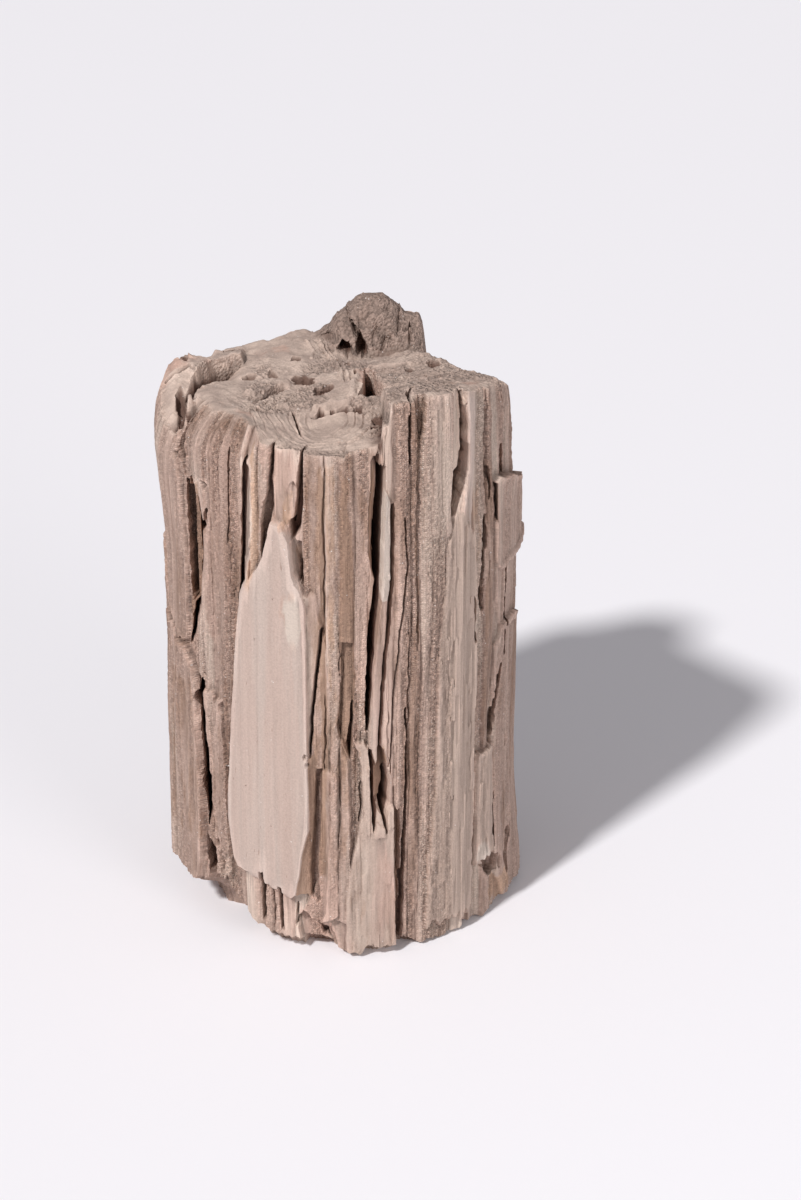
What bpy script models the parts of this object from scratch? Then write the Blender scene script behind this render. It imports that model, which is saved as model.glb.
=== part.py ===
"""A short upright log of petrified wood, one solid.

The wall is laid out by bearing and height. Bearing is in degrees round the log,
0 at the front and positive to the right; heights, lifts and depths are in
millimetres until the mesh is made, which is in metres.
"""
import math

import bmesh
import bpy
import numpy as np

for old in list(bpy.data.objects):
    bpy.data.objects.remove(old, do_unlink=True)

# ---- driving dimensions, in millimetres ----
WIDTH = 232.0             # across the log, left to right, at the plain wall
FRONT_REACH = 118.0       # from the pith to the front of the wall
BACK_REACH = 102.0        # from the pith to the back of the wall
LOW_RIM = 361.0           # height of the worn left-hand part of the top
HIGH_RIM = 396.0          # height of the block that stands up at the front right
BLOCK_FALL = 0.30         # how steeply that block's top falls to the back
LOBE_TOP = 367.0          # height of the left lobe where it stands highest
PEAK_FOOT = 352.0         # where the peak at the back rises from the top
FOOT_INSET = 4.0          # how far the flat foot stays inside the wall
MM = 0.001

# ---- how finely the form is laid out, and how far it is then thinned ----
COLUMNS = 480
WALL_ROWS = 96
TOP_RINGS = 34
UNDER_RINGS = 4
FACES_KEPT = 9400
LEVEL_LOW = 62.0          # below this height the wall's rows follow the lower rim
LEVEL_HIGH = 332.0        # above this height they follow the upper rim
LEVEL_TOP = 400.0         # the height that the uppermost row would have on a level rim
FOOT_SNAP = 0.6           # points this close to the ground are set on it

SIDE_WANDER = 0.4         # how far a strip's sides stray, in degrees
END_WANDER = 4.0          # how far its upper and lower ends stray, in millimetres

STONE_COLOUR = (0.44, 0.33, 0.27, 1.0)
STONE_ROUGHNESS = 0.86
SEED = 41

# Cracks and hollows: depth at the left and at the right, then rows of height, left
# bearing and right bearing.
HOLLOWS = {
    "left cavity": {"depths": (12, 17),
        "rows": [(324, -58, -56), (312, -58.5, -51), (290, -57.5, -52.5), (255, -56.5, -52.5),
                 (222, -57, -53), (205, -61, -56), (190, -63.5, -61)]},
    "lobe parting": {"depths": (9, 9),
        "rows": [(350, -70, -62), (334, -67, -60), (316, -60, -57)]},
    "left lower groove": {"depths": (15, 15),
        "rows": [(174, -57.5, -53), (136, -53.5, -50), (103, -51, -49), (86, -50.5, -49.5)]},
    "front left groove": {"depths": (14, 7),
        "rows": [(362, -35, -29), (340, -35, -30), (300, -36, -30), (268, -36.5, -32.5),
                 (235, -37.5, -36), (198, -38, -37)]},
    "short groove": {"depths": (9, 9),
        "rows": [(362, -23.2, -22), (345, -24, -22), (320, -25.6, -22.4), (298, -26.6, -24),
                 (288, -26.5, -26)]},
    "notch over the slab": {"depths": (13, 13),
        "rows": [(363, -12.6, -11.4), (345, -13.6, -11.2), (325, -16.4, -12), (312, -17.8, -12.6),
                 (303, -16, -14.6)]},
    "slit beside the slab": {"depths": (8, 8),
        "rows": [(300, -15, -11.6), (284, -14.6, -11.2), (274, -12.2, -11)]},
    "main crack": {"depths": (17, 32),
        "rows": [(352, 9.4, 12.6), (330, 8.8, 13.4), (288, 9.2, 13.2), (277, 10, 13),
                 (270, 11, 12.8), (255, 10.2, 12.2), (230, 9.9, 11.6), (200, 8.2, 10.3),
                 (182, 7.9, 9.5), (169, 8.4, 9)]},
    "crack behind the rib": {"depths": (15, 15),
        "rows": [(324, 15.8, 17.4), (290, 16.1, 17.6), (255, 15.5, 17), (215, 13.8, 15.4),
                 (170, 12, 13.2), (141, 11.8, 12.4)]},
    "thin crack": {"depths": (6, 6),
        "rows": [(300, 20.8, 21.8), (255, 20.4, 21.5), (205, 17.8, 19), (150, 16, 17)]},
    "block groove": {"depths": (6, 6),
        "rows": [(384, 22.6, 24.2), (350, 21.2, 23.6), (320, 21.2, 22)]},
    "block recess": {"depths": (4, 4),
        "rows": [(394, 25, 28), (300, 24.8, 26.6), (225, 24.8, 26)]},
    "block hollow": {"depths": (7, 15),
        "rows": [(390, 38.6, 45), (345, 39, 46.4), (320, 39.6, 45.6), (304, 39, 40.5)]},
    "right crack": {"depths": (12, 12),
        "rows": [(372, 63, 66), (345, 63, 67), (314, 62, 67)]},
    "right slit": {"depths": (7, 7),
        "rows": [(290, 53.8, 55.6), (240, 52.8, 54.6), (170, 52, 53.6), (110, 50.4, 52),
                 (52, 49.6, 51)]},
    "right pit": {"depths": (9, 9),
        "rows": [(238, 57.5, 60), (230, 57, 61), (222, 58, 60)]},
    "centre recess": {"depths": (6, 8),
        "rows": [(270, 1, 3.4), (232, -1.4, 4.4), (168, -1.8, 4), (150, 2, 3)]},
    "pocket": {"depths": (20, 20),
        "rows": [(136, 10.6, 15), (122, 10, 15.8), (112, 10.6, 15.4), (104, 11.4, 13)]},
    "slit over the spike": {"depths": (16, 16),
        "rows": [(142, 9, 10.6), (118, 9.6, 11.4), (96, 10.2, 11)]},
    "crack beside the spike": {"depths": (12, 12),
        "rows": [(110, 13.4, 14.8), (92, 13.6, 14.4)]},
    "lower recess": {"depths": (8, 8),
        "rows": [(107, 17, 20.6), (60, 17.4, 20.8), (2, 17.6, 20.6)]},
    "long crack": {"depths": (5, 5),
        "rows": [(172, 21.3, 22.4), (105, 21.2, 22.4), (50, 20, 21.4), (4, 19.4, 20.6)]},
    "recess under the plank": {"depths": (11, 11),
        "rows": [(44, 55, 62), (30, 56, 64), (22, 58, 63)]},
    "groove under the slab, left": {"depths": (8, 8),
        "rows": [(58, -31.4, -29), (24, -30.4, -28.4)]},
    "groove under the slab, right": {"depths": (8, 8),
        "rows": [(52, -24, -22.2), (20, -23.6, -22)]},
    "toe recess": {"depths": (9, 9),
        "rows": [(30, -12, -5), (22, -12, -1.4), (8, -11, -1)]},
    "back scar": {"depths": (9, 6),
        "rows": [(286, 176, 181), (262, 171, 187), (170, 169, 190), (84, 174, 188), (66, 178, 183)]},
    "right rear break": {"depths": (8, 10),
        "rows": [(352, 104, 114), (318, 102, 117), (236, 104, 115), (214, 107, 112)]},
    "left rear break": {"depths": (7, 10),
        "rows": [(360, -128, -119), (322, -130, -115), (288, -126, -118)]},
    "left toe recess": {"depths": (14, 14),
        "rows": [(64, -52, -50.5), (48, -53, -46.5), (36, -52, -46)]},
}

# Plates that stand off the wall: lift at the left edge, lift at the right edge, the share
# of the columns' relief that still shows on them, then rows as above.
PLATES = {
    "great slab": {"lifts": (4.5, 7.5), "kept": 0.2,
        "rows": [(312, -19, -16.6), (298, -24, -15.4), (276, -28.6, -15), (263, -33.4, -11.4),
                 (240, -35, -10.4), (185, -36.6, -10.3), (145, -38, -10.3), (108, -40.5, -10.4),
                 (92, -41, -10.4), (76, -37.5, -13), (63, -33, -13.4), (57, -26, -13.4),
                 (48, -20, -14), (45, -16, -15)]},
    "left lobe, upper": {"lifts": (5, 3), "kept": 0.8,
        "rows": [(366, -100, -66), (335, -104, -62), (300, -100, -60), (225, -100, -58.5),
                 (178, -98, -60)]},
    "left lobe, lower": {"lifts": (3, 5), "kept": 0.8,
        "rows": [(172, -100, -58), (136, -98, -54), (103, -98, -51.5), (60, -97, -52),
                 (34, -92, -54.5), (26, -84, -58)]},
    "column ledge": {"lifts": (3, 2), "kept": 0.8,
        "rows": [(172, -52, -42), (120, -49.5, -41.4), (64, -49, -41), (42, -46, -42)]},
    "ledge below the recess": {"lifts": (5, 3), "kept": 0.8,
        "rows": [(163, -2.4, -1.4), (152, -2.4, 1.6), (142, -2.6, 2.4), (60, -3, 3), (22, -4, 1.6)]},
    "spiked slab": {"lifts": (5, 5.5), "kept": 0.3,
        "rows": [(164, 4, 7), (142, 3.6, 8.6), (112, 4, 10), (98, 3.4, 15.6), (60, 2.4, 17),
                 (28, 1.2, 17.4), (4, 1.2, 17.4)]},
    "white rib": {"lifts": (7, 4), "kept": 0.3,
        "rows": [(346, 13.4, 15.4), (300, 13, 15.8), (230, 11.8, 14), (190, 10, 12.4),
                 (150, 8.2, 11)]},
    "block face": {"lifts": (2, 2.5), "kept": 0.5,
        "rows": [(398, 28, 38.4), (330, 28, 38.8), (296, 28, 40)]},
    "block rib": {"lifts": (4, 2.5), "kept": 0.8,
        "rows": [(392, 45.6, 51), (345, 47, 52), (318, 46, 52.5), (290, 46, 53)]},
    "right ledge": {"lifts": (6, 8), "kept": 0.8,
        "rows": [(309, 74, 80), (303, 62, 86), (290, 61, 93), (266, 62, 90), (256, 66, 84)]},
    "right lower ledge": {"lifts": (4, 6), "kept": 0.8,
        "rows": [(214, 60, 72), (200, 56, 80), (150, 55, 89), (96, 54, 98), (52, 54, 97),
                 (26, 62, 92), (4, 66, 90)]},
    "plank": {"lifts": (4, 2.5), "kept": 0.4,
        "rows": [(206, 54.5, 61), (120, 52.2, 61), (44, 51.2, 61)]},
    "striated plates": {"lifts": (2.5, 2.5), "kept": 0.3,
        "rows": [(262, 33, 50), (150, 33, 49), (14, 31, 48)]},
    "pale strip": {"lifts": (2, 2), "kept": 0.4,
        "rows": [(194, 31.6, 34.2), (132, 31.4, 33.8)]},
    "back slab": {"lifts": (6, 4), "kept": 0.8,
        "rows": [(318, 128, 141), (300, 122, 158), (205, 118, 163), (96, 121, 160), (62, 131, 152)]},
    "back rib": {"lifts": (5, 7), "kept": 0.8,
        "rows": [(352, -164, -154), (250, -168, -151), (140, -166, -148), (24, -170, -150)]},
    "left back plate": {"lifts": (4, 6), "kept": 0.8,
        "rows": [(290, -131, -118), (262, -139, -112), (110, -142, -108), (58, -134, -114)]},
}

# Valleys between the upright columns of the worn wood, as bearings at mid height.
FRONT_VALLEYS = [-100, -91, -83, -76, -69, -62, -53, -47.5, -41, -36, -29.5, -23, -17.5, -11.5, -5.8,
                 -0.6, 4.2, 8.6, 13, 17.2, 21.4, 25.2, 28.6, 33.6, 39, 45.4, 51.6, 57, 62, 68, 76, 84, 93]

# The chipped lower rim: bearing, and how far it clears the ground.
LOWER_RIM = [(-180, 4), (-150, 9), (-125, 22), (-100, 44), (-80, 40), (-62, 31), (-55, 30), (-51, 44),
             (-45, 36), (-38, 26), (-30, 20), (-20, 14), (-12, 8), (-6, 11), (0, 3), (17, 3), (19, 8),
             (22, 3), (35, 1.5), (60, 2), (72, 6), (95, 3), (130, 8), (180, 4)]

# The crest of the peak at the back: distance to the right of the pith, and height.
PEAK_CREST = [(-62, 350), (-28, 362), (-15, 366), (-7, 374), (-4, 381), (6, 386), (12, 392), (28, 393),
              (34, 387), (40, 385), (43, 379), (50, 381), (53, 376), (56, 352), (90, 336)]

# Pits in the top: right of the pith, behind the pith, half width, half length, turn, depth.
TOP_PITS = [(3, 68, 5.5, 9, 0, 26), (12, 71, 5, 12, 20, 30), (19, -26, 6, 20, 12, 20), (-24, 6, 8, 9, 0, 9),
            (-46, -36, 6, 15, -45, 10), (-12, -28, 5, 7, 30, 7), (-9, -50, 11, 5, 0, 6),
            (50, 2, 5, 6, 0, 7), (-104, 18, 4.5, 9, 0, 9), (-103, -22, 4, 8, 10, 9),
            (-70, 46, 9, 7, 30, 10), (58, 52, 10, 6, -20, 6)]

# The groove that parts the left lobe from the rest of the top, front to back.
LOBE_GROOVE = [(-110, -44), (-103, -30), (-95, -14), (-88, 8), (-84, 30), (-72, 52)]
LOBE_GROOVE_DEPTH = 24.0
LOBE_GROOVE_HALF_WIDTH = 6.0


def ease(value, low, high):
    """0 below low, 1 above high, and a smooth step between."""
    share = np.clip((value - low) / (high - low), 0.0, 1.0)
    return share * share * (3.0 - 2.0 * share)


def wrap(bearing):
    """The same bearing between -180 and 180 degrees."""
    return (bearing + 180.0) % 360.0 - 180.0


def ripple(across, along, cells_round, seed):
    """Smooth noise from -1 to 1, which repeats once round the log."""
    table = np.random.default_rng(seed).uniform(-1.0, 1.0, (64, cells_round))
    across = across % cells_round
    along = along % 64.0
    column = np.floor(across).astype(int) % cells_round
    row = np.floor(along).astype(int) % 64
    right = across - np.floor(across)
    up = along - np.floor(along)
    right = right * right * (3.0 - 2.0 * right)
    up = up * up * (3.0 - 2.0 * up)
    next_column = (column + 1) % cells_round
    next_row = (row + 1) % 64
    low = table[row, column] * (1.0 - right) + table[row, next_column] * right
    high = table[next_row, column] * (1.0 - right) + table[next_row, next_column] * right
    return low * (1.0 - up) + high * up


def strip(bearing, height, rows, place, side_ease, end_ease):
    """How far inside an upright strip each point is, and its share of the way across.

    The strip's edges wander a little, by a ripple that its place in the list picks.
    """
    heights, lefts, rights = np.array(sorted(rows), float).T
    row = np.full(np.shape(bearing), float(place))
    bearing = bearing + SIDE_WANDER * ripple(height / 8.0, row, 97, SEED + 20)
    height = height + END_WANDER * ripple(bearing / 1.25, row, 288, SEED + 21)
    left = np.interp(height, heights, lefts)
    right = np.interp(height, heights, rights)
    middle = 0.5 * (left + right)
    half = 0.5 * (right - left)
    away = wrap(bearing - middle)
    inside = 1.0 - ease(np.abs(away), half - side_ease * 0.5, half + side_ease * 0.5)
    inside = inside * ease(height, heights[0] - end_ease, heights[0] + end_ease)
    inside = inside * (1.0 - ease(height, heights[-1] - end_ease, heights[-1] + end_ease))
    across = np.clip(away / np.maximum(half, 0.5), -1.0, 1.0) * 0.5 + 0.5
    return inside, across


def valley_bearings():
    """The front's valleys, and seeded ones of the same spacing round the back."""
    rng = np.random.default_rng(SEED)
    found = list(FRONT_VALLEYS)
    reach = FRONT_VALLEYS[-1]
    while reach < 360.0 + FRONT_VALLEYS[0] - 9.0:
        reach += rng.uniform(4.5, 9.5)
        found.append(reach)
    return np.array(found)


def back_hollows():
    """Seeded cracks on the side and back of the log."""
    rng = np.random.default_rng(SEED + 1)
    found = []
    for place in range(11):
        bearing = 102.0 + place * 14.2 + rng.uniform(-4.0, 4.0)
        low = rng.uniform(20.0, 170.0)
        high = low + rng.uniform(90.0, 170.0)
        width = rng.uniform(1.2, 3.4)
        lean = rng.uniform(-4.0, 4.0)
        rows = [(low, bearing, bearing + 0.6),
                (0.5 * (low + high), bearing + 0.5 * lean - 0.5 * width, bearing + 0.5 * lean + 0.5 * width),
                (high, bearing + lean, bearing + lean + 0.6)]
        depth = rng.uniform(7.0, 15.0)
        found.append({"depths": (depth, depth), "rows": rows})
    return found


def back_plates():
    """Seeded splinters and slabs on the side and back of the log."""
    rng = np.random.default_rng(SEED + 10)
    found = []
    for place in range(10):
        bearing = 100.0 + place * 16.5 + rng.uniform(-5.0, 5.0)
        low = rng.uniform(12.0, 200.0)
        high = low + rng.uniform(70.0, 150.0)
        width = rng.uniform(5.0, 13.0)
        tip = rng.uniform(-0.4, 0.4) * width
        rows = [(low, bearing - 0.4 * width, bearing + 0.3 * width),
                (low + 18.0, bearing - 0.5 * width, bearing + 0.5 * width),
                (0.5 * (low + high), bearing - 0.45 * width, bearing + 0.55 * width),
                (high - 24.0, bearing - 0.3 * width, bearing + 0.5 * width),
                (high, bearing + tip, bearing + tip + 1.5)]
        found.append({"lifts": rng.uniform(1.5, 5.0, 2), "kept": 0.7, "rows": rows})
    return found


def column_relief(bearing, height):
    """Rounded upright columns between the valleys, each at its own depth."""
    valleys = valley_bearings()
    rng = np.random.default_rng(SEED + 2)
    steps = rng.uniform(-1.6, 1.6, len(valleys))
    wander = 0.8 * ripple(bearing / 10.0, height / 60.0, 36, SEED + 3)
    turned = (bearing + wander - valleys[0]) % 360.0 + valleys[0]
    place = np.searchsorted(valleys, turned, side="right") - 1
    ends = np.append(valleys, valleys[0] + 360.0)
    width = ends[place + 1] - ends[place]
    share = (turned - ends[place]) / width
    bulge = np.sqrt(np.clip(1.0 - (2.0 * share - 1.0) ** 2, 0.0, 1.0))
    return steps[place] * bulge + np.minimum(0.34 * width, 2.6) * (bulge - 0.7)


def wall_lift(bearing, height):
    """How far the wall stands off the plain outline, in millimetres."""
    lift = column_relief(bearing, height)
    lift = lift + 1.5 * ripple(bearing / 5.0, height / 70.0, 72, SEED + 4)
    behind = ease(np.abs(wrap(bearing)), 85.0, 120.0)
    lift = lift + (2.5 + 2.5 * behind) * ripple(bearing / 24.0, height / 120.0, 15, SEED + 5)
    for place, plate in enumerate(back_plates() + list(PLATES.values())):
        inside, across = strip(bearing, height, plate["rows"], place, 0.9, 1.6)
        left, right = plate["lifts"]
        face = left + (right - left) * across + plate["kept"] * lift
        lift = lift * (1.0 - inside) + face * inside
    for place, hollow in enumerate(list(HOLLOWS.values()) + back_hollows()):
        inside, across = strip(bearing, height, hollow["rows"], place + 32, 0.7, 2.0)
        left, right = hollow["depths"]
        lift = lift - (left + (right - left) * across) * inside
    lift = lift + 5.0 * (1.0 - ease(height, 0.0, 75.0)) * ease(bearing, 48.0, 80.0) * (bearing < 130.0)
    lift = lift + 4.5 * ease(height, 240.0, 330.0) * np.exp(-((bearing + 85.0) / 16.0) ** 2)
    return lift


def wall_point(bearing, height):
    """Where the wall is at that bearing and height: right of and behind the pith."""
    turn = np.radians(bearing)
    reach = np.where(np.abs(wrap(bearing)) < 90.0, FRONT_REACH, BACK_REACH)
    across = WIDTH * 0.5 * np.sin(turn)
    behind = -reach * np.cos(turn)
    out_across = reach * np.sin(turn)
    out_behind = -WIDTH * 0.5 * np.cos(turn)
    size = np.hypot(out_across, out_behind)
    lift = wall_lift(bearing, height)
    return across + out_across / size * lift, behind + out_behind / size * lift


def polyline_distance(x, y, corners):
    """The distance of each point from a run of straight stretches."""
    nearest = np.full(np.shape(x), 1e9)
    for (x0, y0), (x1, y1) in zip(corners[:-1], corners[1:]):
        length = math.hypot(x1 - x0, y1 - y0)
        along = ((x - x0) * (x1 - x0) + (y - y0) * (y1 - y0)) / length ** 2
        along = np.clip(along, 0.0, 1.0)
        gap = np.hypot(x - x0 - along * (x1 - x0), y - y0 - along * (y1 - y0))
        nearest = np.minimum(nearest, gap)
    return nearest


def top_height(x, y):
    """Height of the broken top, with x to the right of the pith and y behind it."""
    left = LOW_RIM + 11.0 * (1.0 - ease(x, -62.0, -22.0)) * (1.0 - ease(y, -75.0, 10.0))
    left = left + 4.0 * np.exp(-((x - 2.0) / 30.0) ** 2 - ((y + 30.0) / 34.0) ** 2)
    left = left - 10.0 * ease(y, 35.0, 95.0)
    lobe = LOBE_TOP - 0.5 * np.maximum(20.0 - y, 0.0) - 0.3 * np.maximum(y - 30.0, 0.0)
    left = left + (lobe - left) * ease(-x, 86.0, 96.0) * ease(y, -64.0, -52.0)
    right = HIGH_RIM - BLOCK_FALL * (y + 105.0) - 0.11 * np.abs(x - 64.0)
    right = right + 9.0 * np.exp(-((x - 52.0) / 22.0) ** 2) * ease(y, 30.0, 70.0)
    edge = 17.0 + 9.0 * (1.0 - ease(y, -100.0, -55.0)) - 4.0 * ease(y, -30.0, 5.0)
    part = ease(x, edge - 2.0 - 9.0 * ease(y, 0.0, 25.0), edge + 2.0 + 9.0 * ease(y, 0.0, 25.0))
    height = left + (right - left) * part
    step = ease(x, 2.0, 6.0) * (1.0 - ease(x, 22.0, 25.0)) * (1.0 - ease(y, -97.0, -90.0))
    height = height + 13.0 * step * (1.0 - part)
    crests = np.array(PEAK_CREST, float).T
    crest = np.interp(x, crests[0], crests[1], left=0.0, right=0.0)
    foot = 62.0 + 6.0 * np.sin(x * 0.16) + 4.0 * ripple(x / 9.0, y / 40.0, 36, SEED + 6)
    rise = ease(y, foot, foot + 17.0) ** 0.8
    peak = PEAK_FOOT + (crest - PEAK_FOOT) * rise - 0.55 * np.maximum(y - 84.0, 0.0)
    height = np.where(crest > PEAK_FOOT, np.maximum(height, peak), height)
    gap = polyline_distance(x, y, LOBE_GROOVE)
    height = height - LOBE_GROOVE_DEPTH * (1.0 - ease(gap, 1.0, LOBE_GROOVE_HALF_WIDTH))
    for across, behind, half_width, half_length, turn, depth in TOP_PITS:
        swing = math.radians(turn)
        u = (x - across) * math.cos(swing) + (y - behind) * math.sin(swing)
        v = (y - behind) * math.cos(swing) - (x - across) * math.sin(swing)
        height = height - depth * (1.0 - ease(np.hypot(u / half_width, v / half_length), 0.35, 1.0))
    reach = np.where(y < 0.0, FRONT_REACH, BACK_REACH)
    from_wall = (1.0 - np.hypot(x / (0.5 * WIDTH), y / reach)) * FRONT_REACH
    bearing = np.degrees(np.arctan2(x, -y))
    worn = 1.5 + 9.0 * ease(-bearing, 28.0, 44.0) * (1.0 - ease(-bearing, 120.0, 150.0))
    height = height - worn * (1.0 - np.clip(from_wall / 14.0, 0.0, 1.0)) ** 2
    height = height + 2.0 * ripple(x / 16.0 + 20.0, y / 16.0 + 20.0, 40, SEED + 7)
    return height + 1.1 * ripple(x / 6.0 + 60.0, y / 6.0 + 30.0, 120, SEED + 8)


def rim_heights(bearing):
    """Height of the upper rim at each bearing."""
    across, behind = wall_point(bearing, np.full(bearing.shape, 340.0))
    return top_height(across * 0.985, behind * 0.985)


def log_surface():
    """Rings of points from the middle of the foot, up the wall, to the middle of the top."""
    bearing = np.arange(COLUMNS) * 360.0 / COLUMNS - 180.0
    low_rim = np.interp(bearing, *np.array(LOWER_RIM, float).T)
    low_rim = np.maximum(low_rim + 1.6 * ripple(bearing / 3.0, bearing * 0.0, 120, SEED + 9), 1.2)
    high_rim = rim_heights(bearing)
    rings = []
    low_across, low_behind = wall_point(bearing, low_rim)
    inset = FOOT_INSET + 0.85 * low_rim
    for ring in range(UNDER_RINGS):
        share = ring / UNDER_RINGS
        shrink = 1.0 - inset * (1.0 - share) / np.hypot(low_across, low_behind)
        rings.append((low_across * shrink, low_behind * shrink, low_rim * share ** 0.35))
    for ring in range(WALL_ROWS):
        level = LEVEL_TOP * ring / (WALL_ROWS - 1)
        share_low = min(level / LEVEL_LOW, 1.0)
        share_high = max((level - LEVEL_HIGH) / (LEVEL_TOP - LEVEL_HIGH), 0.0)
        height = low_rim + (LEVEL_LOW - low_rim) * share_low
        height = height + min(max(level - LEVEL_LOW, 0.0), LEVEL_HIGH - LEVEL_LOW)
        height = height + (high_rim - LEVEL_HIGH) * share_high
        across, behind = wall_point(bearing, height)
        rings.append((across, behind, height))
    for ring in range(1, TOP_RINGS):
        share = 1.0 - (ring / TOP_RINGS) ** 1.25
        height = top_height(across * share, behind * share)
        if ring == 1:
            height = 0.5 * (height + high_rim)
        rings.append((across * share, behind * share, height))
    return np.array(rings)


def log_mesh():
    """The closed skin of the log, in metres."""
    rings = np.transpose(log_surface(), (0, 2, 1)) * MM
    shell = bmesh.new()
    grid = [[shell.verts.new(point) for point in ring] for ring in rings]
    for low, high in zip(grid[:-1], grid[1:]):
        for place in range(COLUMNS):
            follow = (place + 1) % COLUMNS
            shell.faces.new((low[place], low[follow], high[follow], high[place]))
    foot = shell.verts.new((0.0, 0.0, 0.0))
    crown = shell.verts.new((0.0, 0.0, float(rings[-1][:, 2].mean())))
    for place in range(COLUMNS):
        follow = (place + 1) % COLUMNS
        shell.faces.new((foot, grid[0][follow], grid[0][place]))
        shell.faces.new((crown, grid[-1][place], grid[-1][follow]))
    bmesh.ops.triangulate(shell, faces=shell.faces[:])
    mesh = bpy.data.meshes.new("petrified_log")
    shell.to_mesh(mesh)
    shell.free()
    return mesh


def thinned(mesh):
    """The same skin with fewer faces, standing on z = 0 over the origin."""
    full = bpy.data.objects.new("full_skin", mesh)
    bpy.context.scene.collection.objects.link(full)
    thin = full.modifiers.new("thin", "DECIMATE")
    thin.ratio = FACES_KEPT / len(mesh.polygons)
    seen = full.evaluated_get(bpy.context.evaluated_depsgraph_get())
    result = bpy.data.meshes.new_from_object(seen)
    result.name = "petrified_log"
    bpy.data.objects.remove(full, do_unlink=True)
    points = np.array([vertex.co[:] for vertex in result.vertices])
    points[np.abs(points[:, 2]) < FOOT_SNAP * MM, 2] = 0.0
    middle = 0.5 * (points[:, :2].min(axis=0) + points[:, :2].max(axis=0))
    points[:, :2] -= middle
    result.vertices.foreach_set("co", points.ravel())
    result.update()
    return result


def stone():
    """Dry taupe stone."""
    material = bpy.data.materials.new("petrified_wood")
    material.use_nodes = True
    finish = material.node_tree.nodes["Principled BSDF"]
    finish.inputs["Base Color"].default_value = STONE_COLOUR
    finish.inputs["Roughness"].default_value = STONE_ROUGHNESS
    finish.inputs["Metallic"].default_value = 0.0
    return material


log = bpy.data.objects.new("petrified_log", thinned(log_mesh()))
log.data.materials.append(stone())
bpy.context.scene.collection.objects.link(log)
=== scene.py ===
import math
import time

import bpy
import numpy as np
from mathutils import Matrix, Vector


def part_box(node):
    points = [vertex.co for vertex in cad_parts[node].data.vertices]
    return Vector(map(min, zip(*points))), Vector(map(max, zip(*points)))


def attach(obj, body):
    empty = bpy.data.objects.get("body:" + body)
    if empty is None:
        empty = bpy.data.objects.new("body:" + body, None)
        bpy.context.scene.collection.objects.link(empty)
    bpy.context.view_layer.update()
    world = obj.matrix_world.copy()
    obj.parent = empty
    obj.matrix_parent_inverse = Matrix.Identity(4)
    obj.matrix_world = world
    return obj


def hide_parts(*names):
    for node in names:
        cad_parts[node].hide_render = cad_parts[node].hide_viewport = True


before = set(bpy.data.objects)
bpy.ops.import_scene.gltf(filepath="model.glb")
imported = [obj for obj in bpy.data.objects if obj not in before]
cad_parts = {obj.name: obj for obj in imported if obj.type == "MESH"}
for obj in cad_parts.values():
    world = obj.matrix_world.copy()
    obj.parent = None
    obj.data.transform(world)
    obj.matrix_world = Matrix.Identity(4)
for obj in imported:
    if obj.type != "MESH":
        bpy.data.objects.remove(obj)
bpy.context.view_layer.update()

startTime = time.time()
mm = 0.001


def report(stage):
    print(f"[{time.time() - startTime:6.1f} s] {stage}")


def ease(value, low, high):
    share = np.clip((value - low) / (high - low), 0.0, 1.0)
    return share * share * (3.0 - 2.0 * share)


def wrap(bearing):
    return (bearing + 180.0) % 360.0 - 180.0


# The value of a broken line of (place, value) corners.
def follow(place, corners):
    return np.interp(place, *np.array(corners, float).T)


def draws(order):
    return np.random.default_rng(logForm["seed"] + order)


# Smooth noise from -1 to 1 on a table of 64 rows, which repeats once round the log.
def ripple(across, along, cellsRound, order):
    table = draws(order).uniform(-1.0, 1.0, (64, cellsRound))
    across = across % cellsRound
    along = along % 64.0
    column = np.floor(across).astype(int) % cellsRound
    row = np.floor(along).astype(int) % 64
    right = across - np.floor(across)
    up = along - np.floor(along)
    right = right * right * (3.0 - 2.0 * right)
    up = up * up * (3.0 - 2.0 * up)
    nextColumn = (column + 1) % cellsRound
    nextRow = (row + 1) % 64
    low = table[row, column] * (1.0 - right) + table[row, nextColumn] * right
    high = table[nextRow, column] * (1.0 - right) + table[nextRow, nextColumn] * right
    return low * (1.0 - up) + high * up


# The same noise over the top, with cells that are size wide both ways.
def ground(x, y, size, start, cellsRound, order):
    return ripple(x / size + start[0], y / size + start[1], cellsRound, order)


# How far each point is from the nearest of a scatter of spots, in cells.
def spotDistance(x, y, size, order):
    spots = draws(order).uniform(0.0, 1.0, (97, 97, 2))
    column = np.floor(x / size).astype(int)
    row = np.floor(y / size).astype(int)
    nearest = np.full(np.shape(x), 9.0)
    for stepX in (-1, 0, 1):
        for stepY in (-1, 0, 1):
            spot = spots[(column + stepX) % 97, (row + stepY) % 97]
            gapX = x / size - column - stepX - spot[..., 0]
            gapY = y / size - row - stepY - spot[..., 1]
            nearest = np.minimum(nearest, np.hypot(gapX, gapY))
    return nearest


def polylineDistance(x, y, corners):
    nearest = np.full(np.shape(x), 1e9)
    for (x0, y0), (x1, y1) in zip(corners[:-1], corners[1:]):
        length = math.hypot(x1 - x0, y1 - y0)
        along = ((x - x0) * (x1 - x0) + (y - y0) * (y1 - y0)) / length ** 2
        along = np.clip(along, 0.0, 1.0)
        gap = np.hypot(x - x0 - along * (x1 - x0), y - y0 - along * (y1 - y0))
        nearest = np.minimum(nearest, gap)
    return nearest


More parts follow.
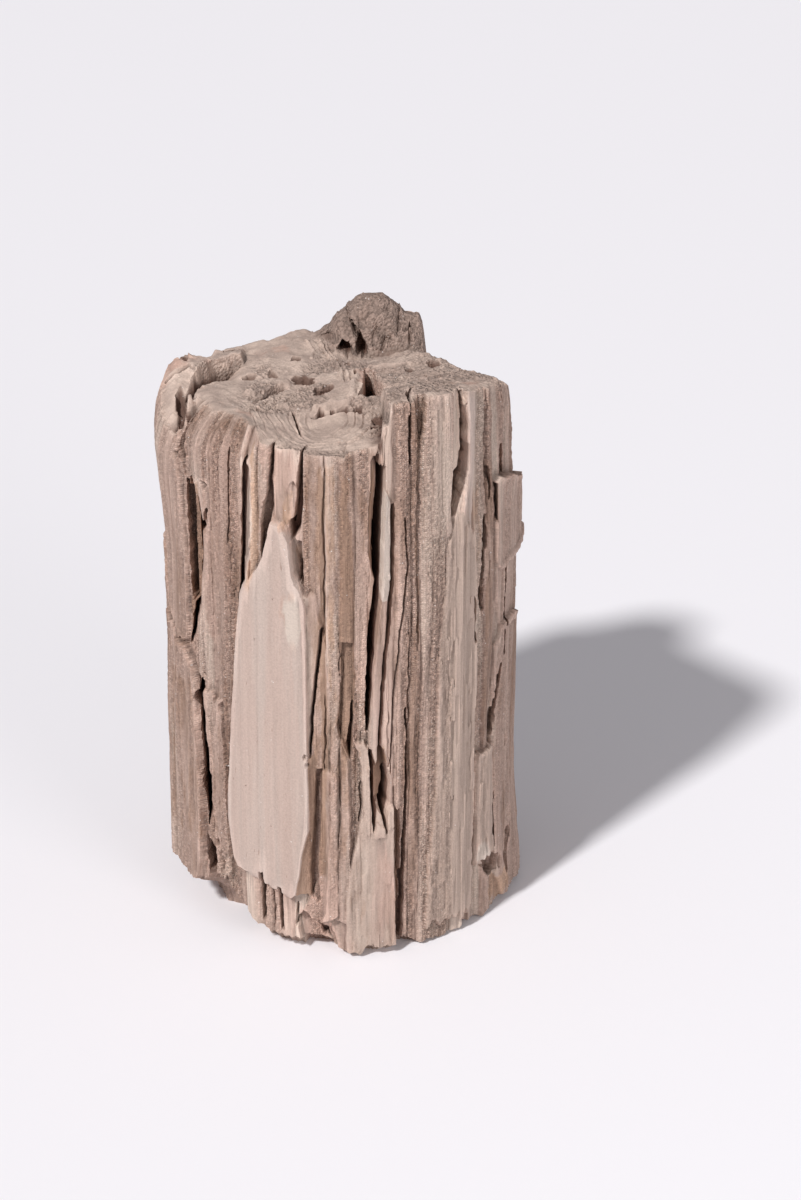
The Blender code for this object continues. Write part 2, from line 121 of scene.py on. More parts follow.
# A moving average over a window of rings and columns, the same all the way round.
def blurred(values, ringSpan, columnSpan):
    padded = np.concatenate([values[:, -columnSpan:], values, values[:, :columnSpan]], axis=1)
    sums = np.cumsum(np.pad(padded, ((0, 0), (1, 0))), axis=1)
    across = (sums[:, 2 * columnSpan + 1:] - sums[:, :-2 * columnSpan - 1]) / (2 * columnSpan + 1)
    padded = np.pad(across, ((ringSpan, ringSpan), (0, 0)), mode="edge")
    sums = np.cumsum(np.pad(padded, ((1, 0), (0, 0))), axis=0)
    return (sums[2 * ringSpan + 1:] - sums[:-2 * ringSpan - 1]) / (2 * ringSpan + 1)


# The wall is laid out by bearing, in degrees round the log from the front and
# positive to the right, and by height. Lengths are in millimetres here and in
# metres from the mesh on.
logForm = {
    "width": 232.0,
    "frontReach": 118.0,    # from the pith to the plain outline
    "backReach": 102.0,
    "footInset": 4.0,
    "rimHeight": 340.0,     # where the wall is read to place the top edge
    "rimDrawn": 26.0,       # how far down the wall draws in towards that edge
    "wallLevels": (62.0, 300.0, 400.0),     # rows follow the lower rim below, the top edge above
    "seed": 41,
    "columns": 1200,
    "wallRows": 430,
    "topRings": 170,
    "underRings": 8,
    "facesKept": 190000,
    "footSnap": 0.3,        # points this near the ground are set on it
    "sharpAngle": 44.0,
    "sideWander": 0.4,      # how far the edges of strips stray: degrees at the sides,
    "sideTeeth": 0.14,
    "endWander": 4.0,       # millimetres at the ends
    "endTeeth": 1.3,
    "plateEdges": (0.5, 1.0),       # how soft strips are at their sides and ends
    "hollowEdges": (0.4, 1.2, 0.55, 0.14),      # then how ragged, and how much narrower
    "hairEdges": (0.3, 3.0),
    "streakEdges": (1.0, 4.0),
    "backHollows": 11,
    "backPlates": 10,
    "columnDepth": 0.65,
    "fluteDepth": 0.5,
    "striaDepth": 0.22,
    "splinterStep": 0.5,
    "hairCount": 90,
    "hairDepth": 2.2,
    "pitDepth": 0.7,
    "swells": (1.5, 2.5),   # height of the wall's small and broad swells
    "footSwell": 3.0,
    "lobeSwell": 5.5,
    "flatSides": ((82.0, 3.6), (-88.0, 1.0)),       # bearing, and how much flatter
}

# Cracks and hollows: depth at the left and right, how far they lean towards straight back
# from the front, then rows of height, left and right bearing.
hollows = {
    "left cavity": (17, 22, 0.9, [
        (324, -56.5, -54), (316, -57, -52.3), (308, -56, -51.3), (296, -54.4, -50.4), (284, -53.6, -50.2),
        (262, -53.8, -50.6), (248, -55, -51.4), (236, -56.5, -52.4), (224, -58.4, -54), (214, -60, -55.8),
        (203, -61, -60)]),
    "left cavity's shallow side": (5, 7, 0.3, [
        (323, -57.5, -54), (305, -59, -52), (262, -58.8, -52), (236, -58.6, -53)]),
    "line beside the left cavity": (7, 7, 0.8, [
        (320, -59.4, -58), (290, -59.2, -57.6), (262, -59, -57.4), (238, -58.8, -57.6)]),
    "notch beside the left cavity": (6, 6, 0.6, [
        (306, -49.6, -48.4), (298, -50.6, -48.4), (288, -50.8, -49.6)]),
    "lobe parting": (5, 5, 0.2, [
        (366, -61.5, -58.5), (352, -64.5, -61), (342, -64.5, -60.5), (332, -62, -59.5), (322, -60.5, -59)]),
    "left lower groove": (19, 19, 1.0, [
        (183, -53.8, -52), (170, -54.4, -51), (150, -53.2, -49.9), (127, -52.4, -48.8), (103, -51.6, -48.6),
        (86, -50.8, -48.4), (74, -50.2, -49.6)]),
    "front left groove": (12, 6, 0.9, [
        (354, -31.6, -30.4), (348, -31.9, -28.9), (335, -32.3, -28.6), (306, -33, -28.8), (288, -33.3, -29.5),
        (270, -33.7, -30.6), (258, -34.3, -32.2), (235, -35.2, -33.9), (212, -36, -35)]),
    "facet over the front left groove": (5, 1.5, 0.0, [
        (392, -32, -25), (372, -31.4, -25.8), (358, -31.6, -28), (350, -31.6, -30)]),
    "short groove": (9, 9, 0.6, [
        (366, -22, -21.2), (345, -22.3, -21.3), (334, -22.9, -21.2), (322, -24.2, -21.2), (308, -24.7, -22.2),
        (298, -24.9, -23.2), (289, -25, -24.2)]),
    "notch over the slab": (13, 15, 0.2, [
        (364, -12.1, -11.2), (346, -13, -11), (330, -13.9, -11.2), (318, -14.8, -11.9), (311, -16.7, -12.6),
        (304, -15.5, -14.1)]),
    "facet over the slab": (0.6, 4.5, 0.0, [
        (343, -15.4, -13.8), (336, -17.4, -13.6), (322, -18.9, -14), (311, -18.3, -15.6)]),
    "facet beside the slab": (3, 6, 0.0, [(303, -14.9, -11.7), (288, -14.7, -11.3), (275, -13.6, -11.3)]),
    "slit beside the slab": (10, 10, 0.0, [(285, -12.6, -11.5), (279, -12.6, -11.2), (272, -12.2, -11.4)]),
    "crack left of the short groove": (4, 4, 0.5, [
        (356, -37.5, -36.9), (330, -38, -37.3), (290, -38.9, -38.2)]),
    "crack right of the slab": (8, 8, 0.3, [
        (242, -6.2, -5.2), (220, -7.5, -6.4), (195, -8.9, -7.8), (172, -9.7, -8.6), (154, -10, -9.3)]),
    "valley right of the slab": (5, 4, 0.3, [
        (142, -7.8, -5.6), (100, -9, -6.4), (75, -10, -7.4), (44, -9.8, -6.6)]),
    "main crack": (26, 36, 0.3, [
        (353, 12.6, 14.4), (335, 12.3, 14.4), (320, 11.8, 14), (300, 11, 13.5), (287, 11, 13.2),
        (275, 11.2, 13.1), (260, 10.2, 12.7), (248, 9.4, 12), (230, 8.6, 11.3), (212, 8.2, 10.3),
        (196, 7.9, 9.9), (182, 7.7, 9.4), (170, 8, 8.8)]),
    "main crack's shallow side": (5, 11, 0.0, [
        (362, 9.9, 12.6), (345, 9.7, 13), (320, 9, 12), (300, 8.9, 11.4), (288, 9.6, 11.4),
        (278, 10.8, 11.6)]),
    "crack behind the rib": (15, 15, 0.3, [
        (328, 15.9, 17.2), (300, 15.9, 17.4), (280, 15.7, 17.2), (265, 14.9, 16.4), (240, 14.3, 15.7),
        (212, 13, 14.3), (190, 12.5, 13.7), (165, 11.9, 13.1), (150, 11.7, 12.9), (142, 11.9, 12.4)]),
    "thin crack": (4, 4, 0.3, [
        (318, 20.3, 20.7), (283, 20.9, 21.5), (258, 19.6, 20.1), (228, 18.4, 18.9), (205, 17.5, 18),
        (182, 16.9, 17.3), (150, 16.1, 16.5), (136, 15.9, 16.2)]),
    "block groove": (6, 6, 0.5, [(388, 22.1, 23.1), (372, 21.9, 23.1), (356, 21.8, 22.6)]),
    "pitted line of the block": (1.8, 1.8, 0.0, [
        (380, 25, 26.5), (345, 24.6, 26.1), (300, 24.3, 25.7), (220, 24.3, 25.3)]),
    "block recess": (2.5, 5, 0.2, [(400, 24, 28.8), (388, 24.6, 28.2), (378, 25.2, 27.5), (370, 26, 27)]),
    "block hollow": (3.5, 6.5, 0.3, [
        (402, 38.2, 43.8), (380, 38.2, 44.2), (350, 38, 44.6), (338, 37.6, 44.8), (326, 37, 42.4),
        (318, 37.2, 40.2), (311, 37.5, 38.3)]),
    "crack in the block hollow": (13, 18, 0.5, [
        (386, 42.8, 43.8), (372, 42.9, 44.6), (350, 42.7, 44.7), (341, 40.8, 44.5), (333, 38, 43.6),
        (325, 37.4, 41.6), (318, 37.4, 40.1), (311, 37.7, 38.4)]),
    "right upper crack": (6, 6, 0.6, [(384, 67, 68.6), (366, 67.4, 69.2), (352, 68, 68.8)]),
    "right notch": (8, 9, 0.5, [(341, 64, 65.4), (330, 63.8, 66.4), (320, 64, 67)]),
    "ledge slit, left": (5, 5, 0.6, [(334, 54.4, 55.4), (322, 54.8, 55.8), (312, 55, 55.6)]),
    "ledge slit": (9, 9, 0.7, [(319, 58, 58.8), (304, 57.8, 58.9), (293, 57.8, 58.4)]),
    "slit under the ledge": (6, 6, 0.6, [
        (298, 53.6, 54.6), (286, 53.2, 54.3), (270, 52.6, 53.6), (250, 51.8, 52.8), (232, 51.6, 52.2)]),
    "right long slit": (5, 5, 0.6, [(256, 67.4, 69), (240, 67, 68.2), (215, 66.2, 67.2), (190, 65.8, 66.4)]),
    "right pit": (10, 10, 0.5, [(254, 51.4, 53), (244, 51, 53.4), (232, 52, 53.6)]),
    "right crack": (5, 5, 0.6, [(262, 48.4, 49.6), (235, 47.6, 48.8), (212, 47.8, 48.6)]),
    "right slit": (8, 8, 0.8, [(178, 48.6, 49.6), (140, 48.4, 49.6), (100, 48.6, 49.8), (60, 49, 50)]),
    "bent crack": (5, 5, 0.6, [(184, 63.4, 64.6), (170, 62, 63.4), (150, 60.5, 61.7), (128, 59.8, 60.8)]),
    "crack beside the plank": (5, 6, 0.7, [(128, 59.8, 61), (90, 59.7, 61), (48, 60.2, 61)]),
    "centre recess": (5, 4, 0.0, [
        (232, 0.6, 4.3), (190, 0, 4.4), (172, -1.4, 4), (162, 0, 3.6), (150, 2.4, 3.2)]),
    "slit in the centre recess": (8, 8, 0.0, [
        (192, 3.4, 4.2), (176, 3, 4.2), (160, 2, 3.7), (151, 2.5, 3.2)]),
    "pocket": (9, 11, 0.0, [
        (154, 11.6, 14), (140, 11, 15), (122, 10.6, 15.8), (112, 11.2, 15.6), (105, 12.4, 14.2)]),
    "pocket's dark side": (10, 14, 0.0, [
        (136, 14.2, 15.4), (124, 14, 16), (112, 13, 15.8), (106, 12.6, 14.4)]),
    "slit over the spike": (22, 22, 0.0, [
        (156, 8.6, 9.8), (140, 9, 11.1), (118, 9.4, 11.4), (104, 9.8, 11.2), (95, 10.3, 10.9)]),
    "crack beside the spike": (13, 13, 0.0, [(113, 12.9, 14.3), (104, 13.3, 14.5), (93, 13.9, 14.4)]),
    "lower recess": (5, 6, 0.0, [(107, 17, 19.5), (60, 17.2, 19.6), (2, 17.6, 19.2)]),
    "long crack": (9, 9, 0.3, [
        (180, 20.5, 21.1), (155, 21.4, 22.2), (122, 21.2, 22.2), (90, 20.8, 22), (60, 19.8, 21.2),
        (30, 18.9, 20.5), (2, 18.2, 20)]),
    "recess under the plank": (6, 7, 0.3, [(46, 52, 60), (40, 54, 63), (33, 56, 62), (28, 57, 60)]),
    "corner crack": (8, 8, 0.3, [(50, 70, 76), (34, 67, 70), (22, 68.5, 70)]),
    "groove under the slab, left": (8, 8, 0.5, [(58, -27.2, -25.4), (22, -26.6, -25)]),
    "groove under the slab, right": (7, 7, 0.4, [(50, -20.8, -19.4), (16, -20.4, -19.2)]),
    "crack over the toe": (6, 6, 0.2, [(38, -14.6, -14), (20, -15.4, -14.2)]),
    "toe recess": (7, 7, 0.0, [(31, -14, -10), (26, -14.4, -7), (19, -14, -2.4), (8, -13, -1)]),
    "toe gaps": (6, 6, 0.0, [(19, -7.4, -6.2), (10, -5.8, -3.6)]),
    "back scar": (9, 6, 0.0, [
        (286, 176, 181), (262, 171, 187), (170, 169, 190), (84, 174, 188), (66, 178, 183)]),
    "right rear break": (8, 10, 0.0, [(352, 104, 114), (318, 102, 117), (236, 104, 115), (214, 107, 112)]),
    "left rear break": (7, 10, 0.0, [(330, -126, -120), (312, -130, -115), (280, -126, -118)]),
    "left toe recess": (15, 15, 0.6, [(66, -51.4, -49.6), (52, -52, -47), (42, -51, -46), (34, -50, -47)]),
}

# Plates that stand off the wall: lift at the left and right, the share of the columns'
# relief that still shows on them, how smooth they are, the finish, how ragged their edges
# are, then rows as above.
plates = {
    "flank of the slab": (7, 2.5, 0.2, 0.85, "grey", 0.3, [
        (268, -12, -7.4), (242, -11.4, -5.8), (220, -11, -7), (195, -11, -8.4), (160, -11, -9.6),
        (140, -11, -10.2)]),
    "lower flank of the slab": (7, 1, 0.2, 0.6, "brown", 0.3, [
        (150, -10.6, -8), (110, -11, -8), (86, -12, -8.6), (62, -13.6, -9), (46, -14.6, -9.4)]),
    "great slab": (4, 7, 0.2, 1.0, "cream", 0.22, [
        (314, -21.7, -17.8), (308, -22.4, -15.9), (303, -22.8, -15), (290, -24.2, -14.7), (280, -26.6, -14.2),
        (270, -29.6, -11.6), (262, -32, -10.4), (256, -33.6, -10.2), (240, -34.2, -10.1), (185, -36.2, -10),
        (145, -37.7, -9.9), (110, -39, -9.8), (97, -39.2, -10), (87, -38.8, -11), (74, -37.8, -12.3),
        (62, -36.8, -12.9), (58, -35.4, -13.4), (54, -29.6, -13.8), (50, -24.4, -14), (45.5, -19.6, -14.6),
        (43.5, -17.4, -15.6)]),
    "left lobe, upper": (3, 2, 0.8, 0.3, "taupe", 0.8, [
        (376, -100, -68), (350, -102, -66), (320, -102, -62), (262, -97, -60.5), (238, -84, -60.8),
        (218, -74, -61), (203, -67, -61.5)]),
    "left lobe, lower": (3, 5, 0.8, 0.2, "taupe", 0.7, [
        (250, -103, -96), (226, -102, -82), (208, -101, -70), (197, -100, -62), (180, -100, -55),
        (136, -98, -53.4), (103, -98, -51.8), (60, -97, -52), (34, -92, -53.5), (26, -84, -56)]),
    "column ledge": (3, 2, 0.8, 0.1, "taupe", 1, [
        (174, -51, -43), (120, -48.6, -41), (64, -47, -40), (40, -46, -40)]),
    "ledge below the recess": (4, 3, 0.8, 0.1, "taupe", 0.4, [
        (170, -2.6, -1.8), (162, -2.8, 0), (150, -3, 2.4), (100, -3.2, 3), (34, -5, 3), (27, -7, 2)]),
    "column beside the slab": (2, 3, 0.8, 0.1, "pink", 0.4, [
        (140, -6, -1), (60, -7, -1), (34, -12, -1), (28, -12.6, -4)]),
    "spiked slab": (4.5, 5, 0.3, 0.8, "grey", 0.45, [
        (163, 4, 7), (156, 5.6, 8.6), (142, 6.4, 9.2), (118, 6.9, 9.6), (103, 6, 10.2), (96, 5.4, 17),
        (80, 4, 17), (60, 2.4, 17.2), (28, 1.4, 17.5), (3, 1.4, 17.6)]),
    "tooth of the spiked slab": (5, 5, 0.3, 0.8, "grey", 0.2, [
        (114, 11.7, 12.3), (106, 11.2, 13), (96, 10.8, 13.8), (90, 10.6, 14)]),
    "step of the spiked slab": (5, 5, 0.3, 0.7, "grey", 0.2, [
        (111, 15.2, 17), (107, 14.6, 17), (96, 14.4, 17)]),
    "light strip": (1, 1, 0.4, 0.7, "grey", 0.3, [(390, 13.9, 16.4), (345, 14.1, 16.4), (330, 13.9, 16)]),
    "rib": (6, 3, 0.4, 0.45, "taupe", 0.35, [
        (280, 13, 15.8), (265, 12.6, 15), (240, 11.6, 14.4), (212, 10.2, 13.1), (190, 9.6, 12.6),
        (165, 8.8, 11.9), (140, 8.6, 11.6)]),
    "white rib": (6, 3, 0.4, 0.45, "white", 0.35, [
        (337, 14.4, 15), (330, 13.7, 15.8), (300, 13.4, 15.9), (282, 13, 15.8), (262, 12.6, 15)]),
    "block face": (1.5, 2.5, 0.5, 0.25, "taupe", 0.4, [
        (402, 28.4, 38.2), (385, 27.6, 38.2), (345, 27, 37.8), (318, 28, 37), (300, 28, 38)]),
    "block rib": (3, 2, 0.7, 0.6, "cream", 0.5, [
        (400, 44.2, 48.2), (345, 44.8, 48), (334, 43.6, 48), (322, 42.4, 47), (308, 40.4, 46.4),
        (290, 40, 46)]),
    "below the right ledge": (2, 3.4, 0.8, 0.2, "taupe", 0.3, [
        (260, 59, 94), (240, 60, 94), (222, 62, 92), (208, 64, 88)]),
    "right ledge": (4, 7, 0.6, 0.3, "taupe", 0.25, [
        (321, 58.4, 62), (314, 58.2, 72), (302, 58, 84), (295, 58, 96), (264, 58.2, 96), (258, 60, 94),
        (255, 62, 92)]),
    "right lower ledge": (3, 4.5, 0.8, 0.3, "taupe", 0.5, [
        (214, 64, 74), (200, 60, 84), (150, 61, 89), (96, 61, 98), (52, 60, 97), (26, 62, 92), (4, 66, 90)]),
    "plank": (3.5, 3.5, 0.4, 0.7, "grey", 0.35, [
        (128, 50.4, 59.4), (90, 50.2, 59.4), (48, 50, 60), (43, 50, 57)]),
    "striated plates": (2.5, 2.5, 0.3, 0.55, "grey", 1.0, [
        (312, 39, 41), (290, 36, 49), (205, 32, 49), (110, 32, 48.6), (60, 29, 48), (14, 28, 48)]),
    "pale strip": (2, 2, 0.4, 0.7, "cream", 0.5, [(196, 32.4, 34), (160, 32, 33.8), (140, 31.8, 33.4)]),
    "back slab": (6, 4, 0.8, 0.6, "cream", 0.8, [
        (318, 128, 141), (300, 122, 158), (205, 118, 163), (96, 121, 160), (62, 131, 152)]),
    "back rib": (5, 7, 0.8, 0.2, "taupe", 0.8, [
        (352, -164, -154), (250, -168, -151), (140, -166, -148), (24, -170, -150)]),
    "left back plate": (4, 6, 0.8, 0.4, "grey", 0.8, [
        (290, -131, -118), (262, -139, -112), (110, -142, -108), (58, -134, -114)]),
}

# Bands of colour that have no relief of their own: finish, strength, then rows as above.
streaks = {
    "brown middle": ("brown", 0.5, [(350, -11, 9), (200, -9, 9), (60, -9, 1)]),
    "brown foot of the spiked slab": ("brown", 0.35, [(98, 5, 17), (60, 2, 17), (4, 1.6, 17.4)]),
    "ochre band": ("ochre", 0.6, [(360, -4.4, -1), (280, -4.2, -1), (215, -4, -1.6), (196, -3.4, -2.4)]),
    "brown band": ("brown", 0.75, [(356, -6.2, -4.6), (250, -6, -4.4), (150, -6, -4.6), (60, -7, -5)]),
    "ochre facet of the front left groove": ("ochre", 0.65, [
        (384, -28.5, -25.6), (372, -31, -25), (352, -28.6, -25.4), (320, -28.4, -25.4), (290, -29.2, -26),
        (262, -31.4, -29)]),
    "ochre facet over the slab": ("ochre", 0.6, [
        (340, -17.4, -13.8), (324, -18.8, -14.4), (310, -18.6, -15.6)]),
    "ochre facet beside the slab": ("ochre", 0.5, [(302, -14.8, -11.8), (277, -13.6, -11.4)]),
    "brown rows of the right block": ("brown", 0.3, [
        (384, 19, 25.6), (300, 18.6, 25.2), (200, 17, 28), (100, 18.6, 30), (6, 19, 28)]),
    "dark rows under the hollow": ("brown", 0.5, [(376, 25, 26.4), (300, 24.4, 25.6), (226, 24.2, 25.4)]),
    "brown recess of the block": ("brown", 0.6, [(398, 23.6, 28.4), (380, 24.6, 27.8), (368, 26, 27)]),
    "pale wall left of the slab": ("pink", 0.6, [
        (366, -50, -34), (300, -50.5, -34), (262, -50, -37), (215, -50, -40)]),
    "brown rows left of the slab": ("brown", 0.4, [(262, -45, -42), (200, -46, -40), (70, -48, -43)]),
    "brown left cavity": ("brown", 0.85, [(323, -58, -52.2), (262, -58.6, -51), (215, -60.6, -55.4)]),
    "brown flank of the crack": ("brown", 0.7, [(356, 10, 12.6), (320, 9.1, 12), (284, 9.8, 11.6)]),
    "brown groove": ("brown", 0.75, [
        (358, 0.4, 2), (310, 0.3, 3.6), (275, 0.2, 4.6), (200, 0.2, 4.6), (172, -1.2, 4.2), (155, 1, 3.4)]),
    "pink shoulder": ("pink", 0.6, [(372, -33, -14), (352, -25, -13), (330, -21, -17)]),
    "pink column beside the crack": ("pink", 0.5, [(300, 4.8, 9), (230, 4.8, 8.4), (166, 4.6, 7.8)]),
    "white chip on the slab": ("white", 0.95, [
        (270, -17, -13.2), (256, -17.4, -11.6), (242, -16.6, -11.4), (233, -14.8, -13)]),
    "grey sheet under the block": ("grey", 0.8, [(312, 38, 44), (262, 34, 49), (150, 32, 49), (20, 29, 48)]),
    "brown hollow of the block": ("brown", 0.35, [(400, 38.4, 43.6), (340, 38, 44)]),
    "ochre side of the right rib": ("ochre", 0.5, [(330, 47, 52), (300, 46, 53), (270, 48, 52)]),
    "ochre corner": ("ochre", 0.9, [(24, 60, 68), (14, 57, 71), (6, 58, 70)]),
    "brown back of the pocket": ("brown", 0.85, [(154, 11.6, 14.6), (114, 11, 15.6)]),
    "brown lower recess": ("brown", 0.7, [(105, 17, 19.4), (4, 17.4, 19.4)]),
    "pink stub at the toe": ("pink", 0.9, [(31, -14, -9), (22, -14, -2), (8, -13, -1)]),
    "pink foot of the spiked slab": ("pink", 0.6, [(90, 11.6, 13), (60, 11, 17.4), (20, 11, 17)]),
    "pale end of the plank": ("white", 0.9, [(58, 50.4, 56), (50, 50.4, 57.5), (43, 50, 57.5)]),
    "brown lower left": ("brown", 0.5, [(180, -96, -56), (120, -96, -53), (60, -96, -51)]),
}

# Bearings of the valleys between the upright columns, at mid height.
frontValleys = [
    -100, -91, -83, -76, -69, -62, -55, -47.6, -43, -38.4, -33, -26.4, -21.4, -16, -11.2, -6.2, -4.4, -0.6,
    4.5, 9.4, 13.4, 17.2, 22.4, 25.8, 38, 44, 48.4, 53.6, 58.6, 63, 70, 77, 85, 93
]

# Where the wood's cells stand out as upright rows of small pits: bearings and strength.
beadBands = [
    (-104, -53, 0.8), (-53, -33, 1.0), (-29, -21, 0.7), (-11.5, -6, 0.9), (-3.6, 2, 0.6), (2, 9.5, 1.0),
    (17.3, 38, 0.95), (50, 70, 0.7), (70, 256, 0.7)
]

# Single pits in the wall: bearing, height, half width in degrees, half height, depth.
wallPits = [
    (-43, 168, 1.1, 4.5, 6), (59.5, 230, 1.2, 7, 5), (-10.8, 151, 0.7, 3, 3), (-10.2, 146, 0.6, 2.4, 2.6),
    (-58, 200, 1.2, 4, 4), (-46, 64, 1.3, 4, 5), (-43, 52, 1.0, 6, 5), (-50, 324, 1.6, 3, 4),
    (-20.5, 262, 0.3, 0.8, 1), (-27, 231, 0.3, 0.8, 1), (-31, 121, 0.35, 1, 1), (-22, 96, 0.3, 0.8, 1),
    (70, 120, 1.2, 5, 4), (75, 60, 1.6, 5, 6), (64, 34, 1.6, 5, 6), (58, 372, 0.8, 4, 3),
    (-63, 352, 1.6, 5, 5), (-67, 343, 1.4, 4, 5), (-61, 366, 1.2, 4, 4), (-65, 334, 1.2, 3, 4),
    (-70, 358, 1.0, 3, 3), (-59, 340, 1.0, 5, 4)
]

# The chipped lower rim: bearing, and how far it clears the ground.
lowerRim = [
    (-180, 4), (-150, 9), (-125, 22), (-100, 46), (-88, 44), (-80, 38), (-70, 34), (-62, 29), (-55, 26),
    (-51.5, 34), (-50, 46), (-47, 42), (-42.5, 38), (-37, 31), (-33, 25), (-29.5, 19), (-25, 15), (-20, 13),
    (-15, 11), (-10, 13), (-5, 10), (0, 4), (6, 3), (8, 8), (17, 7), (18.5, 10), (21, 9), (26, 3), (35, 1.5),
    (39, 4), (44, 4), (50, 2), (60, 3), (72, 7), (95, 4), (130, 8), (180, 4)
]

# How far the wall draws in below its top edge, by bearing.
topInset = [
    (-130, 4), (-112, 4), (-100, 5), (-66, 6), (-58, 14), (-46, 17), (-33, 11), (-26, 3.5), (-18, 1.5),
    (12, 1.5), (15, 1.2), (42, 1.2), (56, 1.5), (74, 1.5), (90, 3), (130, 4), (230, 4)
]

# The finishes that are laid over the stone's own taupe.
finishNames = ["cream", "grey", "ochre", "white", "brown", "pink"]


# The columns of the grid that a strip covers, how far inside it each of their points
# is, and the share of the way across. Its jag is how much its edges stray.
def stripOn(bearing, height, rows, place, sideEase, endEase, jag=1.0, trim=0.0):
    heights, lefts, rights = np.array(sorted(rows), float).T
    centre = 0.5 * (lefts.min() + rights.max())
    span = 0.5 * (rights.max() - lefts.min()) + 1.5
    near = np.nonzero(np.abs(wrap(bearing[0] - centre)) < span)[0]
    b = bearing[:, near]
    h = height[:, near]
    row = np.full(b.shape, float(place))
    b = b + jag * logForm["sideWander"] * ripple(h / 8.0, row, 97, 20)
    b = b + jag * logForm["sideTeeth"] * ripple(h / 2.6, row, 97, 22)
    h = h + jag * logForm["endWander"] * ripple(b / 1.25, row, 288, 21)
    h = h + jag * logForm["endTeeth"] * ripple(b / 0.6, row, 600, 23)
    left = np.interp(h, heights, lefts)
    right = np.interp(h, heights, rights)
    middle = 0.5 * (left + right)
    half = np.maximum(0.5 * (right - left) - trim, np.minimum(0.5 * (right - left), 0.22))
    away = wrap(b - middle)
    inside = 1.0 - ease(np.abs(away), half - sideEase * 0.5, half + sideEase * 0.5)
    inside = inside * ease(h, heights[0] - endEase, heights[0] + endEase)
    inside = inside * (1.0 - ease(h, heights[-1] - endEase, heights[-1] + endEase))
    across = np.clip(away / np.maximum(half, 0.5), -1.0, 1.0) * 0.5 + 0.5
    return near, inside, across


# The measured valleys of the front, then seeded ones round the back.
def valleyBearings():
    rng = draws(0)
    found = list(frontValleys)
    reach = frontValleys[-1]
    while reach < 360.0 + frontValleys[0] - 9.0:
        reach += rng.uniform(4.5, 9.5)
        found.append(reach)
    return np.array(found)


# Seeded hollows and plates for the back, in the form of the tables above.
def backHollows():
    rng = draws(1)
    found = []
    for place in range(logForm["backHollows"]):
        bearing = 102.0 + place * 14.2 + rng.uniform(-4.0, 4.0)
        low = rng.uniform(20.0, 170.0)
        high = low + rng.uniform(90.0, 170.0)
        width = rng.uniform(1.2, 3.4)
        lean = rng.uniform(-4.0, 4.0)
        middle = bearing + 0.5 * lean
        rows = [(low, bearing, bearing + 0.6),
                (0.5 * (low + high), middle - 0.5 * width, middle + 0.5 * width),
                (high, bearing + lean, bearing + lean + 0.6)]
        depth = rng.uniform(7.0, 15.0)
        found.append((depth, depth, 0.0, rows))
    return found


def backPlates():
    rng = draws(10)
    found = []
    for place in range(logForm["backPlates"]):
        bearing = 100.0 + place * 16.5 + rng.uniform(-5.0, 5.0)
        low = rng.uniform(12.0, 200.0)
        high = low + rng.uniform(70.0, 150.0)
        width = rng.uniform(5.0, 13.0)
        tip = rng.uniform(-0.4, 0.4) * width
        rows = [(low, bearing - 0.4 * width, bearing + 0.3 * width),
                (low + 18.0, bearing - 0.5 * width, bearing + 0.5 * width),
                (0.5 * (low + high), bearing - 0.45 * width, bearing + 0.55 * width),
                (high - 24.0, bearing - 0.3 * width, bearing + 0.5 * width),
                (high, bearing + tip, bearing + tip + 1.5)]
        finish = ("taupe", "grey", "cream")[place % 3]
        found.append((*rng.uniform(1.5, 5.0, 2), 0.7, 0.35, finish, 0.8, rows))
    return found


# Thin seeded cracks, mostly in the valleys between the columns.
def hairCracks():
    rng = draws(30)
    valleys = valleyBearings()
    found = []
    for _ in range(logForm["hairCount"]):
        start = valleys[rng.integers(len(valleys))] + rng.normal(0.0, 1.1)
        low = rng.uniform(4.0, 300.0)
        length = rng.uniform(30.0, 150.0)
        lean = rng.uniform(-1.0, 1.0)
        width = rng.uniform(0.12, 0.4)
        rows = [(low, start, start + 0.05),
                (low + 0.5 * length, start + 0.5 * lean - width, start + 0.5 * lean + width),
                (low + length, start + lean, start + lean + 0.05)]
        found.append((logForm["hairDepth"] * rng.uniform(0.5, 1.4), rows))
    return found


# The rounded columns: their relief, how full each is, and which one a point is on.
def columnRelief(bearing, height):
    valleys = valleyBearings()
    steps = draws(2).uniform(-1.6, 1.6, len(valleys))
    wander = 0.8 * ripple(bearing / 10.0, height / 60.0, 36, 3)
    turned = (bearing + wander - valleys[0]) % 360.0 + valleys[0]
    place = np.searchsorted(valleys, turned, side="right") - 1
    ends = np.append(valleys, valleys[0] + 360.0)
    width = ends[place + 1] - ends[place]
    share = (turned - ends[place]) / width
    bulge = np.sqrt(np.clip(1.0 - np.abs(2.0 * share - 1.0) ** 3, 0.0, 1.0))
    depth = logForm["columnDepth"] * np.minimum(0.34 * width, 2.6)
    return steps[place] * bulge + depth * (bulge - 0.8), bulge, place


# Upright grooves between the columns, finer and finer, that run nearly straight.
def fluting(bearing, height):
    broad = ripple(bearing / 2.4, height / 150.0, 150, 50)
    fine = ripple(bearing / 1.0, height / 95.0, 360, 51)
    finest = ripple(bearing / 0.5, height / 42.0, 720, 52)
    grooves = -1.1 * np.exp(-(broad / 0.07) ** 2) - 0.5 * np.exp(-(fine / 0.11) ** 2)
    return logForm["fluteDepth"] * (0.8 * broad + 0.5 * fine + grooves) + logForm["striaDepth"] * finest


